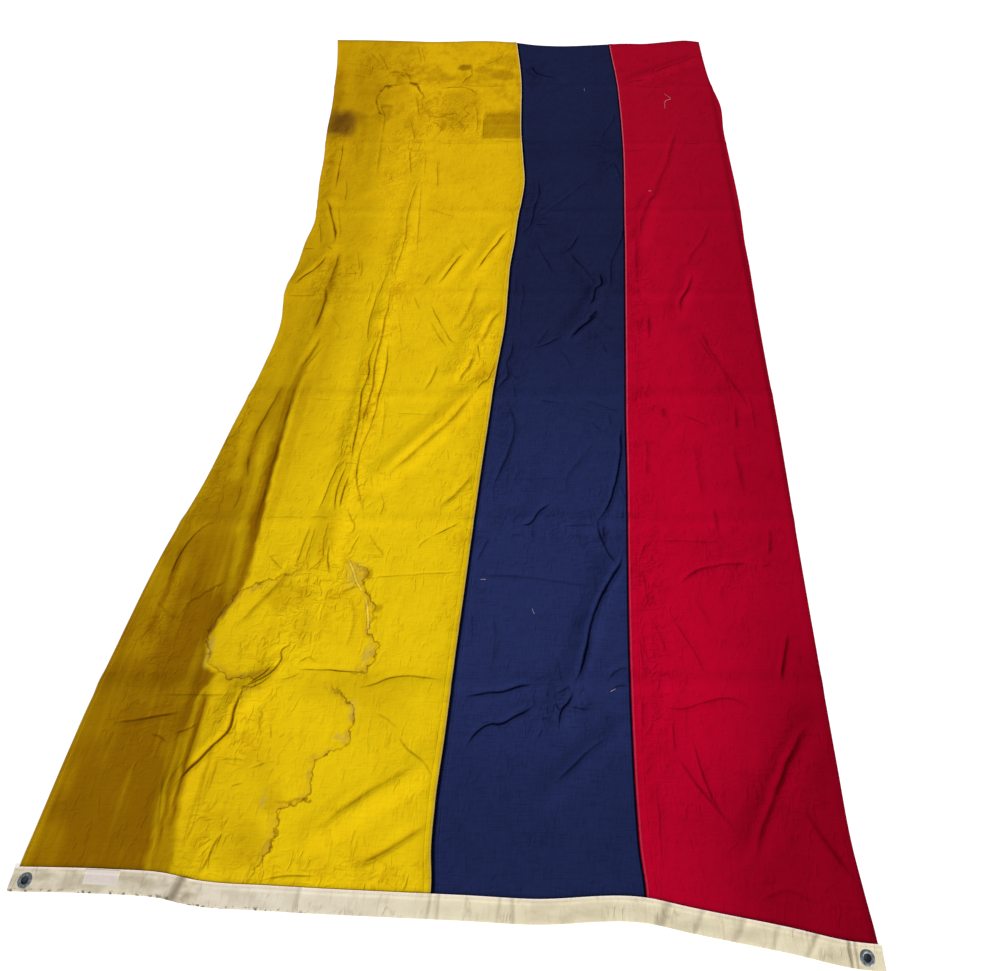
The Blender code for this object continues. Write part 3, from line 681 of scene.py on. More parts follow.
# places where the cloth is crumpled: across, along, half width, half length, how much
crumples = (
    # yellow
    (-0.34, 0.64, 0.15, 0.15, 1.0), (-0.41, 0.48, 0.11, 0.10, 0.8), (-0.43, 0.33, 0.07, 0.12, 0.9),
    (-0.45, 0.13, 0.07, 0.09, 0.9), (-0.32, 1.05, 0.06, 0.40, 0.9), (-0.30, 1.60, 0.07, 0.50, 0.8),
    (-0.36, 2.25, 0.12, 0.30, 0.9), (-0.28, 2.55, 0.18, 0.24, 1.0), (-0.50, 2.85, 0.15, 0.14, 0.9),
    (-0.62, 2.20, 0.07, 0.45, 0.8), (-0.64, 1.05, 0.05, 0.35, 0.9), (-0.50, 1.62, 0.12, 0.16, 0.8),
    (-0.05, 1.35, 0.08, 0.28, 0.8), (-0.03, 0.80, 0.06, 0.30, 0.5), (-0.05, 2.90, 0.08, 0.14, 0.7),
    (-0.62, 0.45, 0.08, 0.30, 0.5), (-0.20, 0.07, 0.30, 0.05, 0.6), (-0.12, 2.40, 0.10, 0.20, 0.6),
    # blue
    (0.05, 1.10, 0.08, 0.35, 0.7), (0.29, 0.75, 0.08, 0.20, 0.9), (0.20, 0.38, 0.10, 0.12, 0.8),
    (0.28, 1.50, 0.08, 0.22, 0.8), (0.10, 1.90, 0.08, 0.26, 0.8), (0.33, 2.30, 0.08, 0.28, 0.9),
    (0.08, 2.80, 0.09, 0.14, 0.8), (0.15, 0.78, 0.14, 0.06, 0.8),
    # red
    (0.39, 0.60, 0.05, 0.60, 1.0), (0.41, 1.50, 0.05, 0.60, 0.8), (0.62, 1.30, 0.08, 0.22, 0.5),
    (0.55, 2.80, 0.16, 0.14, 0.7), (0.62, 0.20, 0.10, 0.12, 0.5), (0.60, 0.68, 0.14, 0.08, 0.5),
)


def crumpledAt(x, a):
    # the places above added together, over a little everywhere, with uneven borders
    x = x + 0.02 * hills(x, a, 0.07, 0.07, 44)
    total = np.full(x.shape, 0.12)
    for atX, atA, halfX, halfA, much in crumples:
        total = total + much * fade(np.hypot((x - atX) / halfX, (a - atA) / halfA), 1.15)
    return np.clip(total * (1 + 0.5 * hills(x, a, 0.05, 0.08, 45)), 0, 1.1)


def addPiece(name, points, faces, nodes=(), material=None):
    # a mesh from points and faces, smooth but for its sharp edges, riding on the flag
    mesh = bpy.data.meshes.new(name)
    mesh.from_pydata(np.asarray(points).reshape(-1, 3), [], faces)
    mesh.shade_smooth()
    mesh.set_sharp_from_angle(angle=math.radians(50))
    if material:
        mesh.materials.append(material)
    piece = bpy.data.objects.new(name, mesh)
    bpy.context.scene.collection.objects.link(piece)
    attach(piece, "root")
    if nodes:
        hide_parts(*nodes)
    return piece


def addAttribute(piece, name, values):
    # one number for each point of the mesh, for its finish to read
    piece.data.attributes.new(name, "FLOAT", "POINT").data.foreach_set("value", np.ravel(values).astype("f"))


def tubeFaces(rings, sides, first=0, closed=False):
    # the quads between rings of points numbered one after another, the last joined to the first if closed
    starts = [(i, (i + 1) % rings) for i in range(rings if closed else rings - 1)]
    return [[first + i * sides + j, first + i * sides + (j + 1) % sides, first + n * sides + (j + 1) % sides,
             first + n * sides + j] for i, n in starts for j in range(sides)]


def gridFaces(rows, columns, first=0, flip=False):
    # the quads of a grid whose points are numbered row by row
    i, j = np.meshgrid(np.arange(rows - 1), np.arange(columns - 1), indexing="ij")
    a = first + (i * columns + j).ravel()
    quads = np.column_stack([a, a + 1, a + columns + 1, a + columns])
    return (quads[:, ::-1] if flip else quads).tolist()


def lowest(values, reach):
    # the least value within a few steps each way
    for axis in (0, 1):
        pad = [(reach, reach) if k == axis else (0, 0) for k in (0, 1)]
        wide = np.pad(values, pad, mode="edge")
        parts = [np.take(wide, range(k, k + values.shape[axis]), axis) for k in range(2 * reach + 1)]
        values = np.min(parts, axis=0)
    return values


def clothSheet(name, across, along, top, thick, node, material, every=3):
    # a closed sheet: a fine face, an underside of every third point laid below it, and walls between
    rows, columns = across.shape
    under = np.maximum(lowest(top, 3) - thick, 0.0)[::every, ::every]
    face = placed(across, along, top).reshape(-1, 3)
    back = placed(across[::every, ::every], along[::every, ::every], under)
    faces = gridFaces(rows, columns)
    first, backColumns = len(face), back.shape[1]
    faces += gridFaces(back.shape[0], backColumns, first, flip=True)
    fine = np.arange(rows * columns).reshape(rows, columns)
    coarse = first + np.arange(back.shape[0] * backColumns).reshape(back.shape[:2])
    walls = (
        (fine[0], coarse[0], False), (fine[:, -1], coarse[:, -1], False),
        (fine[-1], coarse[-1], True), (fine[:, 0], coarse[:, 0], True),
    )
    for edge, below, turned in walls:
        for k in range(len(below) - 1):
            ring = [*edge[k * every:(k + 1) * every + 1][::-1], below[k], below[k + 1]]
            faces.append([int(v) for v in (ring[::-1] if turned else ring)])
    piece = addPiece(name, np.vstack([face, back.reshape(-1, 3)]), faces, (node,), material)
    uv = piece.data.uv_layers.new(name="cloth").data
    corners = np.empty(len(piece.data.loops), int)
    piece.data.loops.foreach_get("vertex_index", corners)
    flat = np.vstack([np.stack([across, along], -1).reshape(-1, 2), back.reshape(-1, 3)[:, :2]])
    uv.foreach_set("uv", flat[corners].ravel())
    return piece


def fill(values, every=3):
    # values at the face's points, then the same at the underside's
    return np.concatenate([values.ravel(), values[::every, ::every].ravel()])


def panelRows():
    # rows of the panels, closer at the hoist, with two at the fly for its hem
    count, hem = 520, cloth["hem"][0]
    t = np.linspace(0, 1, count + 1)
    start, end = lay["headingWidth"] - lay["tuck"], lay["flyEnd"] - hem
    rows = start + (end - start) * (0.62 * t + 0.38 * t * t)
    return np.concatenate([rows, [end + 0.002, lay["flyEnd"]]])


def spaced(count, weights):
    # shares of a width from 0 to 1, closer together where the weights are high
    table = np.array(weights)
    t = np.linspace(0, 1, 400)
    run = np.concatenate([[0], np.cumsum(np.interp(0.5 * (t[1:] + t[:-1]), table[:, 0], table[:, 1]))])
    return np.interp(np.linspace(0, 1, count + 1), run / run[-1], t)


class Wire:
    # a node's output that can be added, multiplied and so on; each sum makes its Math node
    def __init__(self, finish, socket):
        self.finish, self.socket = finish, socket

    def worked(self, operation, other=None, turned=False):
        # the sum of this wire and the other value, in that order unless turned
        pair = [self] if other is None else ([other, self] if turned else [self, other])
        return self.finish.node("ShaderNodeMath", {"operation": operation}, dict(enumerate(pair)))

    def __add__(self, other):
        return self.worked("ADD", other)

    def __radd__(self, other):
        return self.worked("ADD", other, True)

    def __sub__(self, other):
        return self.worked("SUBTRACT", other)

    def __rsub__(self, other):
        return self.worked("SUBTRACT", other, True)

    def __mul__(self, other):
        return self.worked("MULTIPLY", other)

    def __rmul__(self, other):
        return self.worked("MULTIPLY", other, True)

    def __truediv__(self, other):
        return self.worked("DIVIDE", other)

    def __rtruediv__(self, other):
        return self.worked("DIVIDE", other, True)

    def __abs__(self):
        return self.worked("ABSOLUTE")


class Finish:
    # a material under construction: its methods add nodes and return wires
    def __init__(self, name, roughness=0.85, metallic=0.0, gloss=0.0):
        self.material = bpy.data.materials.new(name)
        self.material.use_nodes = True
        self.tree = self.material.node_tree
        self.shader = self.tree.nodes["Principled BSDF"]
        self.shader.inputs["Roughness"].default_value = roughness
        self.shader.inputs["Metallic"].default_value = metallic
        self.shader.inputs["Specular IOR Level"].default_value = gloss

    def connect(self, socket, value):
        # a wire is linked to the socket, and anything else becomes its value
        if isinstance(value, Wire):
            self.tree.links.new(value.socket, socket)
        else:
            socket.default_value = value

    def node(self, kind, settings=None, inputs=None, out=0):
        # a new node with these settings and inputs, and the wire from one of its outputs
        made = self.tree.nodes.new(kind)
        for key, value in (settings or {}).items():
            setattr(made, key, value)
        for key, value in (inputs or {}).items():
            self.connect(made.inputs[key], value)
        return Wire(self, made.outputs[out])

    def attribute(self, name):
        # the numbers that addAttribute gave to the mesh under this name
        return self.node("ShaderNodeAttribute", {"attribute_name": name}, out=2)

    def blend(self, factor, first, second, mode="MIX"):
        # from the first colour to the second by the factor; a colour is a wire, or red, green and blue
        first, second = ((*c, 1) if isinstance(c, tuple) else c for c in (first, second))
        settings = {"data_type": "RGBA", "blend_type": mode, "clamp_factor": True}
        return self.node("ShaderNodeMix", settings, {0: factor, 6: first, 7: second}, out=2)

    def tinted(self, colour, factor, tint):
        # the colour multiplied by a tint, as far as the factor says
        return self.blend(factor, colour, tint, "MULTIPLY")

    def places(self):
        # where a point lies, in the piece's own metres
        return self.node("ShaderNodeTexCoord", out=3)

    def noise(self, size, detail=2.0, stretch=(1, 1, 1), place=None):
        # noise of about this size in metres, drawn out by stretch; value from 0 to 1
        place = place or self.node("ShaderNodeUVMap", {"uv_map": "cloth"})
        scale = tuple(1 / (size * s) for s in stretch)
        turned = self.node("ShaderNodeMapping", {}, {0: place, "Scale": scale})
        return self.node("ShaderNodeTexNoise", {}, {"Vector": turned, "Scale": 1.0, "Detail": detail})

    def between(self, value, low, high):
        # 0 below low, 1 above high, a cubic step between
        settings = {"interpolation_type": "SMOOTHSTEP", "clamp": True}
        inputs = {"Value": value, "From Min": low, "From Max": high, "To Min": 0.0, "To Max": 1.0}
        return self.node("ShaderNodeMapRange", settings, inputs)

    def bell(self, value, width):
        # 1 at nought, falling away on both sides over the width
        return 1 - self.between(abs(value), 0.0, width)

    def done(self, colour, height=None, roughness=None):
        # the material with its colour, its bumps in millimetres of height, and its roughness
        self.connect(self.shader.inputs["Base Color"], colour)
        if height is not None:
            bump = self.node("ShaderNodeBump", {}, {"Height": height, "Strength": 1.0, "Distance": 0.001})
            self.connect(self.shader.inputs["Normal"], bump)
        if roughness is not None:
            self.connect(self.shader.inputs["Roughness"], roughness)
        return self.material


def wovenCotton(finish, near, far, weave):
    # The plain cloth: fine slubs run across and threads along, and broad clouds lie over both.
    slubs = finish.noise(0.004, 2.0, (9, 0.8, 1))
    warp = finish.noise(0.003, 2.0, (0.7, 9, 1))
    cloud = finish.noise(0.16, 3.0)
    # darker and duller towards the fly, partly by fading and partly as painted light fall-off
    colour = finish.blend(finish.attribute("far"), near, far)
    colour = finish.tinted(colour, finish.between(slubs, 0.45, 0.75) * weave, (0.60, 0.52, 0.50))
    colour = finish.tinted(colour, finish.between(warp, 0.45, 0.75) * weave, (0.60, 0.52, 0.50))
    colour = finish.tinted(colour, finish.between(cloud, 0.45, 0.75) * 0.25, (0.80, 0.66, 0.66))
    return colour, slubs * 0.25 + warp * 0.25


def smallWrinkles(finish, crumpled):
    # Broken wrinkles, some along and some across, everywhere and more where the cloth is crumpled: they
    # follow the middle value of a noise, as bell(noise - 0.5).
    patches = finish.between(finish.noise(0.08, 2.0), 0.42, 0.64)
    broken = finish.between(finish.noise(0.026, 2.0), 0.42, 0.60)
    lengthwise = finish.bell(finish.noise(0.022, 2.0, (1, 2.8, 1)) - 0.5, 0.075) * broken
    crosswise = finish.bell(finish.noise(0.026, 2.0, (1.9, 1, 1)) - 0.5, 0.060) * (1 - broken)
    return lengthwise * (0.20 + patches * 0.50 + crumpled), crosswise * (0.10 + crumpled * 0.9)


def stained(finish, colour):
    # The yellow's marks: brown soil mixed with painted shade, a pale haze, a dark blot, damp stains with a
    # pale rim and a dark line, and thin brown rings. The lines wander by a noise and are patchy.
    colour = finish.tinted(colour, finish.attribute("soilAndShade"), (0.32, 0.215, 0.30))
    colour = finish.blend(finish.attribute("haze"), colour, (0.46, 0.33, 0.07))
    colour = finish.blend(finish.attribute("blot"), colour, (0.15, 0.064, 0.006))
    wobble = finish.noise(0.018, 4.0) * 0.016 - 0.008
    patchy = finish.between(finish.noise(0.03, 3.0), 0.35, 0.65)
    tide = finish.attribute("tideOffset") + wobble * 2.2
    shows = finish.attribute("tideStrength")
    rim = finish.between(tide, -0.001, 0.002) * (1 - finish.between(tide, 0.004, 0.016)) * shows
    colour = finish.tinted(colour, rim * (0.3 + patchy * 0.7) * 0.8, (0.76, 0.66, 1.0))
    colour = finish.blend(rim * patchy * 0.07, colour, (0.40, 0.28, 0.16))
    line = finish.bell(tide, 0.0036) * shows
    colour = finish.tinted(colour, line * (0.6 + patchy * 0.4), (0.34, 0.28, 0.3))
    ring = finish.bell(finish.attribute("ringOffset") + wobble * 1.3, 0.0052)
    ring = ring * finish.attribute("ringStrength")
    return finish.tinted(colour, ring * (0.42 + patchy * 0.58), (0.34, 0.24, 0.25))


def bordered(finish, colour, border):
    # The border at the seam: its strip of painted shadow beside the lap, its line, which is another colour at
    # the fly, and its ridge.
    fromSeam = finish.attribute("fromSeam") + finish.noise(0.012, 2.0) * 0.0012 - 0.0006
    # painted shadow beside the lap
    seamShadow = 1 - finish.between(fromSeam, *border["seamShadow"])
    colour = finish.tinted(colour, seamShadow * border["darkness"], (0.10, 0.09, 0.12))
    at, half, much = border["line"]
    tint = finish.blend(finish.attribute("far"), border["near"], border["faded"])
    colour = finish.blend(finish.bell(fromSeam - at, half) * much, colour, tint)
    return colour, finish.bell(fromSeam - border["ridge"], 0.0022) * 0.5


def creaseLines(finish):
    # The creases of every layer, the strongest at each place: dark = painted shade along the crease, a broad
    # and a fine bell, broken by a noise where it is weak, with painted shade beside a pale ridge; groove = 1
    # - distance / 3.4 mm; bright = a painted highlight where the strength is below nought.
    unevenNoise = 0.45 + finish.between(finish.noise(0.016, 2.0), 0.38, 0.60) * 0.55
    dark, groove, bright = 0.0, 0.0, 0.0
    for k in range(cloth["layers"]):
        line = finish.attribute(f"creaseOffset{k}")
        strength = finish.attribute(f"creaseStrength{k}")
        sharp = (1 - abs(line) / 0.0034).worked("MAXIMUM", 0.0)
        drawn = (finish.bell(line, 0.0050) * 0.42 + finish.bell(line, 0.0019) * 0.58) * strength
        dark = (drawn * (unevenNoise + strength * (1 - unevenNoise))).worked("MAXIMUM", dark)
        dark = (finish.bell(abs(line) - 0.0045, 0.0016) * strength * -0.5).worked("MAXIMUM", dark)
        groove = (sharp * strength).worked("MAXIMUM", groove)
        bright = (finish.bell(line, 0.0026) * strength * -1).worked("MAXIMUM", bright)
    return dark * (1 - finish.attribute("far") * 0.25), groove, bright


def cotton(name, look, border, marked=False):
    # A panel's finish: woven cotton, rumples with painted shade in their hollows, stains on the yellow, the
    # border at its seam, creases with painted shade and highlights, small wrinkles with painted shade, and
    # painted shade over the panel.
    finish = Finish(name)
    crumpled = finish.attribute("crumpled")
    colour, threads = wovenCotton(finish, look["near"], look["far"], look["weave"])
    lengthwise, crosswise = smallWrinkles(finish, crumpled)
    rumple = finish.noise(0.040, 2.0, (1, 1.6, 1)) * (0.3 + crumpled)
    # painted shade in the rumples' low places
    folded = (0.52 - rumple / (0.3 + crumpled)).worked("MAXIMUM", 0.0) * (0.2 + crumpled)
    colour = finish.tinted(colour, folded * 2.0, (0.75, 0.60, 0.60))
    if marked:
        colour = stained(finish, colour)
    colour, ridge = bordered(finish, colour, border)
    dark, groove, bright = creaseLines(finish)
    # painted shade along the creases
    colour = finish.tinted(colour, dark, look["crease"])
    # painted highlight along sharp ridges
    colour = finish.blend(bright * 0.5, colour, (0.92, 0.74, 0.28))
    # painted shade along the small wrinkles
    colour = finish.tinted(colour, (lengthwise + crosswise) * 0.18, (0.52, 0.36, 0.45))
    # painted shade over the panel, from its shade attribute
    colour = finish.tinted(colour, finish.attribute("shade"), (0.35, 0.35, 0.35))
    wrinkles = lengthwise * 1.0 + crosswise * 0.9 - rumple * 5.5
    return finish.done(colour, threads + ridge - wrinkles - groove * 2.4)


# each panel's cotton: its colours near the hoist and at the fly, darker towards the fly partly by fading and
# partly as painted light fall-off, what the painted shade in a crease multiplies them by, and how much the
# weave shows
looks = {
    "yellow": {"near": (0.81, 0.552, 0.004), "far": (0.71, 0.425, 0.0035), "crease": (0.30, 0.17, 0.3),
               "weave": 0.14},
    "blue": {"near": (0.0188, 0.0284, 0.109), "far": (0.0128, 0.0168, 0.0585), "crease": (0.10, 0.10, 0.12),
             "weave": 0.4},
    "red": {"near": (0.49, 0.0015, 0.0235), "far": (0.365, 0.0028, 0.0185), "crease": (0.34, 0.4, 0.32),
            "weave": 0.15},
}
# its border, in metres from the seam: where a strip of painted shadow thins out and how dark it is, the
# place, half width and strength of a line, the line's colour near the hoist and at the fly, and the place of
# a low ridge
borders = {
    "yellow": {"seamShadow": (0.001, 0.008), "darkness": 0.40, "line": (0.0018, 0.0020, 0.75),
               "near": (0.58, 0.41, 0.10), "faded": (1.0, 0.86, 0.50), "ridge": 0.012},
    "blue": {"seamShadow": (0.004, 0.010), "darkness": 1.0, "line": (0.0150, 0.0014, 0.3),
             "near": (0.030, 0.040, 0.125), "faded": (0.020, 0.028, 0.08), "ridge": 0.0145},
    "red": {"seamShadow": (0.0, 0.0022), "darkness": 0.8, "line": (0.0034, 0.0020, 0.75),
            "near": (0.46, 0.055, 0.115), "faded": (0.60, 0.26, 0.36), "ridge": 0.0205},
}
yellowCotton = cotton("yellow cotton", looks["yellow"], borders["yellow"], marked=True)
blueCotton = cotton("blue cotton", looks["blue"], borders["blue"])
redCotton = cotton("red cotton", looks["red"], borders["red"])
print("cotton finishes made")

# the brown soil on the yellow's outer side, partly painted shade: where its inner edge runs, as along and
# across
soilAndShadeEdge = (
    (0.04, -0.530), (0.12, -0.534), (0.20, -0.546), (0.30, -0.545), (0.37, -0.530), (0.425, -0.505),
    (0.450, -0.532), (0.50, -0.546), (0.55, -0.526), (0.60, -0.508), (0.66, -0.501), (1.25, -0.504),
    (1.50, -0.500), (2.20, -0.500), (2.60, -0.480), (3.06, -0.480),
)
# how strong it is outside that edge, and the thin wash of it inside: along, strength, wash
soilAndShadeDepth = (
    (0.04, 0.95, 0.25), (0.35, 0.95, 0.30), (0.60, 0.90, 0.12), (0.80, 0.82, 0.12), (1.00, 0.66, 0.20),
    (1.25, 0.50, 0.38), (1.50, 0.42, 0.38), (1.80, 0.36, 0.32), (2.20, 0.35, 0.26), (2.50, 0.48, 0.24),
    (2.75, 0.34, 0.20), (3.06, 0.30, 0.20),
)
# darker and paler bands in it: strength, half width and softness in millimetres, then across and along
soilAndShadeBands = (
    # the long fold and beside it: painted shade and paler painted light of the fold
    (0.34, 8, 7, (-0.490, 1.34), (-0.505, 1.27), (-0.514, 1.20), (-0.515, 0.95), (-0.511, 0.66)),
    (0.22, 8, 6, (-0.482, 1.28), (-0.484, 1.00), (-0.487, 0.72)),
    (0.22, 8, 12, (-0.545, 1.22), (-0.575, 1.05), (-0.575, 0.90)),
    (-0.32, 9, 8, (-0.545, 1.08), (-0.545, 0.86), (-0.540, 0.72), (-0.532, 0.58)),
    (-0.16, 10, 10, (-0.610, 1.10), (-0.600, 0.98), (-0.602, 0.90)),
    # the dark part beside the damp mark, and the paler outer side
    (0.14, 30, 16, (-0.555, 0.62), (-0.585, 0.52), (-0.605, 0.40)),
    (-0.14, 26, 16, (-0.690, 0.70), (-0.680, 0.56), (-0.690, 0.44)),
    (0.20, 4, 5, (-0.672, 0.75), (-0.673, 0.62), (-0.680, 0.50)),
    (0.12, 22, 20, (-0.590, 0.27), (-0.580, 0.18), (-0.570, 0.09)),
    # the middling part towards the heading, with its stripes
    (0.48, 17, 8, (-0.522, 0.42), (-0.524, 0.28), (-0.512, 0.08), (-0.510, -0.04)),
    (0.30, 2, 3, (-0.513, 0.42), (-0.514, 0.30), (-0.510, 0.12)),
    (0.25, 2, 3, (-0.531, 0.30), (-0.531, 0.19), (-0.522, 0.10)),
    (-0.18, 2, 3, (-0.523, 0.40), (-0.522, 0.26), (-0.515, 0.14)),
    (0.26, 2, 3, (-0.476, 0.30), (-0.475, 0.20), (-0.480, 0.10)),
    (0.18, 2, 3, (-0.462, 0.27), (-0.463, 0.18)),
    # farther along
    (0.22, 10, 14, (-0.505, 1.75), (-0.500, 1.60), (-0.500, 1.45), (-0.480, 1.36)),
    (0.14, 12, 20, (-0.620, 1.95), (-0.610, 1.75), (-0.605, 1.60)),
    (0.14, 10, 14, (-0.560, 2.55), (-0.530, 2.40), (-0.525, 2.20)),
    (0.25, 14, 20, (-0.690, 2.85), (-0.675, 2.65), (-0.665, 2.50)),
    (0.10, 40, 30, (-0.600, 2.85), (-0.560, 2.70), (-0.540, 2.58)),
)
# soft brown marks on the yellow, some of them painted shade among creases: across, along, half width, half
# length, how strong
smudgesAndShade = (
    (-0.207, 2.845, 0.030, 0.022, 0.75), (-0.130, 2.825, 0.045, 0.026, 0.40),
    (-0.060, 2.790, 0.060, 0.045, 0.50), (-0.055, 2.900, 0.045, 0.050, 0.28),
    (-0.200, 2.550, 0.070, 0.160, 0.26), (-0.415, 0.425, 0.035, 0.016, 0.50),
    (-0.210, 0.395, 0.140, 0.035, 0.16), (-0.400, 0.200, 0.070, 0.090, 0.14),
    (-0.150, 0.350, 0.060, 0.080, 0.10), (-0.385, 2.722, 0.020, 0.012, 0.95),
    (-0.490, 2.702, 0.022, 0.009, 0.90), (-0.455, 2.730, 0.014, 0.010, 0.45),
    (-0.470, 2.812, 0.016, 0.008, 0.50), (-0.220, 2.485, 0.022, 0.022, 0.50),
    (-0.250, 2.440, 0.014, 0.035, 0.48), (-0.180, 2.430, 0.010, 0.020, 0.42),
    (-0.380, 2.450, 0.020, 0.050, 0.32), (-0.520, 2.480, 0.012, 0.050, 0.45),
    (-0.235, 0.655, 0.011, 0.011, 0.50), (-0.200, 0.568, 0.013, 0.013, 0.45),
    (-0.350, 0.545, 0.012, 0.030, 0.20), (-0.385, 0.115, 0.060, 0.050, 0.30),
    (-0.380, 0.125, 0.010, 0.014, 0.45), (-0.345, 0.190, 0.030, 0.025, 0.28),
    (-0.410, 0.600, 0.060, 0.040, 0.28), (-0.360, 0.740, 0.050, 0.090, 0.16),
    (-0.450, 0.408, 0.075, 0.022, 0.30), (-0.350, 0.530, 0.030, 0.040, 0.15),
    (-0.330, 1.100, 0.030, 0.300, 0.12),
)
# thin brown rings and edges of stains: how strong, then across and along
rings = (
    (1.0, (-0.400, 2.722), (-0.440, 2.712), (-0.495, 2.705), (-0.512, 2.670), (-0.520, 2.625),
     (-0.505, 2.560), (-0.480, 2.505), (-0.435, 2.490)),
    (1.0, (-0.385, 2.720), (-0.365, 2.680), (-0.345, 2.640), (-0.350, 2.600)),
    (1.0, (-0.185, 2.860), (-0.177, 2.785), (-0.198, 2.755), (-0.210, 2.715)),
    (0.9, (-0.290, 2.690), (-0.230, 2.700), (-0.185, 2.692), (-0.158, 2.672), (-0.148, 2.630)),
    (0.7, (-0.172, 2.590), (-0.185, 2.550), (-0.165, 2.520), (-0.190, 2.480), (-0.180, 2.430)),
    (0.8, (-0.335, 2.560), (-0.300, 2.500), (-0.260, 2.500), (-0.215, 2.520), (-0.190, 2.490)),
    (0.7, (-0.290, 2.470), (-0.255, 2.420), (-0.265, 2.380)),
    (0.6, (-0.230, 2.450), (-0.200, 2.400)),
    (0.5, (-0.165, 2.872), (-0.105, 2.882), (-0.062, 2.985)),
    (0.6, (-0.520, 2.760), (-0.480, 2.800), (-0.440, 2.800), (-0.405, 2.760)),
    (0.5, (-0.245, 0.762), (-0.230, 0.730), (-0.205, 0.702), (-0.238, 0.695)),
    (0.6, (-0.465, 0.705), (-0.440, 0.678), (-0.422, 0.662)),
    (0.5, (-0.495, 0.750), (-0.490, 0.725)),
    (0.6, (-0.6275, 0.546), (-0.601, 0.595), (-0.571, 0.6175), (-0.5375, 0.640)),
    (0.5, (-0.684, 0.591), (-0.650, 0.560), (-0.6275, 0.546)),
    (0.5, (-0.398, 0.360), (-0.393, 0.330), (-0.391, 0.300)),
    (0.6, (-0.335, 0.187), (-0.300, 0.186), (-0.268, 0.193)),
)

# pale marks: across, along, half width, half length, how strong
paleMarks = (
    (-0.262, 0.655, 0.022, 0.030, 0.28), (-0.532, 0.475, 0.010, 0.030, 0.45),
    (-0.203, 0.475, 0.011, 0.026, 0.45), (-0.215, 0.350, 0.010, 0.018, 0.45),
    (-0.232, 0.300, 0.018, 0.008, 0.45), (-0.352, 0.190, 0.007, 0.018, 0.55),
)
# the dark blot at the outer edge, which leans and is wider towards that edge
blot = {
    "place": (-0.616, 2.458), "lean": 0.08, "leansFrom": 2.46,
    "outward": 0.085, "inward": 0.056, "half": 0.098,
}
# the brown patch by the seam: how its three edges step in, across, along and along
patch = {"left": (-0.108, -0.101), "near": (2.352, 2.366), "far": (2.500, 2.560)}
# where the far yellow is mottled: it begins, grows weaker, and is weaker near the outer edge
mottled = {"from": (2.25, 2.55), "less": (2.9, 3.0), "inward": (-0.58, -0.46), "strength": 0.42}


def roundMark(x, a, atX, atA, halfX, halfA):
    # 1 in the middle of an ellipse, falling to 0 a little past its edge
    return 1 - step(np.hypot((x - atX) / halfX, (a - atA) / halfA), 0.55, 1.25)


def soilAndShadeAt(x, a):
    # strong outside the edge of the soil and painted shade, a wash that thins out inside it, and the bands
    # added
    deep, wash = straight(soilAndShadeDepth, 1, a), straight(soilAndShadeDepth, 2, a)
    past = x - straight(soilAndShadeEdge, 1, a)
    soft = 0.005 + 0.045 * step(a, 1.8, 2.7) + 0.010 * (1 - step(a, 0.08, 0.28))
    soilAndShade = wash * (1 - step(past, 0.02, 0.15)) + (deep - wash) * (1 - step(past / soft, -1.4, 1))
    for strong, half, soft, *points in soilAndShadeBands:
        s, share = nearestOn(smoothLine(points), x, a)
        beside = step(np.abs(s), mm * (half - soft / 2), mm * (half + soft))
        soilAndShade = soilAndShade + strong * taperedEnds(share, 0.18) * (1 - beside)
    return np.maximum(soilAndShade, 0)


def blotAt(x, a, wanderA):
    # 1 inside the blot: a rounded box, from the sum of the cubes of the distances from its middle
    atX, atA = blot["place"]
    fromMiddle = x - atX + blot["lean"] * (a - blot["leansFrom"])
    half = np.where(fromMiddle < 0, blot["outward"], blot["inward"])
    away = np.cbrt(np.abs(fromMiddle / half) ** 3 + np.abs((wanderA - atA) / blot["half"]) ** 3)
    return (1 - step(away, 0.45, 1.20)) * (0.92 + 0.12 * hills(x, a, 0.012, 0.05, 61))


def brownAt(x, a, wanderX, wanderA):
    # the streaky soil and painted shade, the mottling at the fly, added, and the patch and smudges where they
    # are darker
    streaks = wandered(0, x, a, (0.08, 0.022, 0.9, 51), (0.08, 0.008, 0.4, 52))
    soilAndShade = soilAndShadeAt(wanderX, wanderA) * (1 + streaks + 0.10 * hills(x, a, 0.03, 0.05, 62))
    mottle = np.maximum(0, wandered(0.1, x, a, (0.6, 0.045, 0.070, 56), (0.5, 0.014, 0.022, 57)))
    mottle = mottle * step(a, *mottled["from"]) * (1 - 0.4 * step(a, *mottled["less"]))
    soilAndShade = soilAndShade + mottled["strength"] * (mottle * (0.3 + 0.7 * step(x, *mottled["inward"])))
    bands = 0.5 + 0.10 * hills(0 * x, a, 1.0, 0.016, 58) + 0.06 * hills(x, a, 0.010, 0.010, 59)
    inPatch = step(wanderX, *patch["left"]) * step(a, *patch["near"]) * (1 - step(wanderA, *patch["far"]))
    soilAndShade = np.maximum(soilAndShade, inPatch * bands)
    for *mark, strong in smudgesAndShade:
        soilAndShade = np.maximum(soilAndShade, strong * roundMark(wanderX, wanderA, *mark))
    return soilAndShade


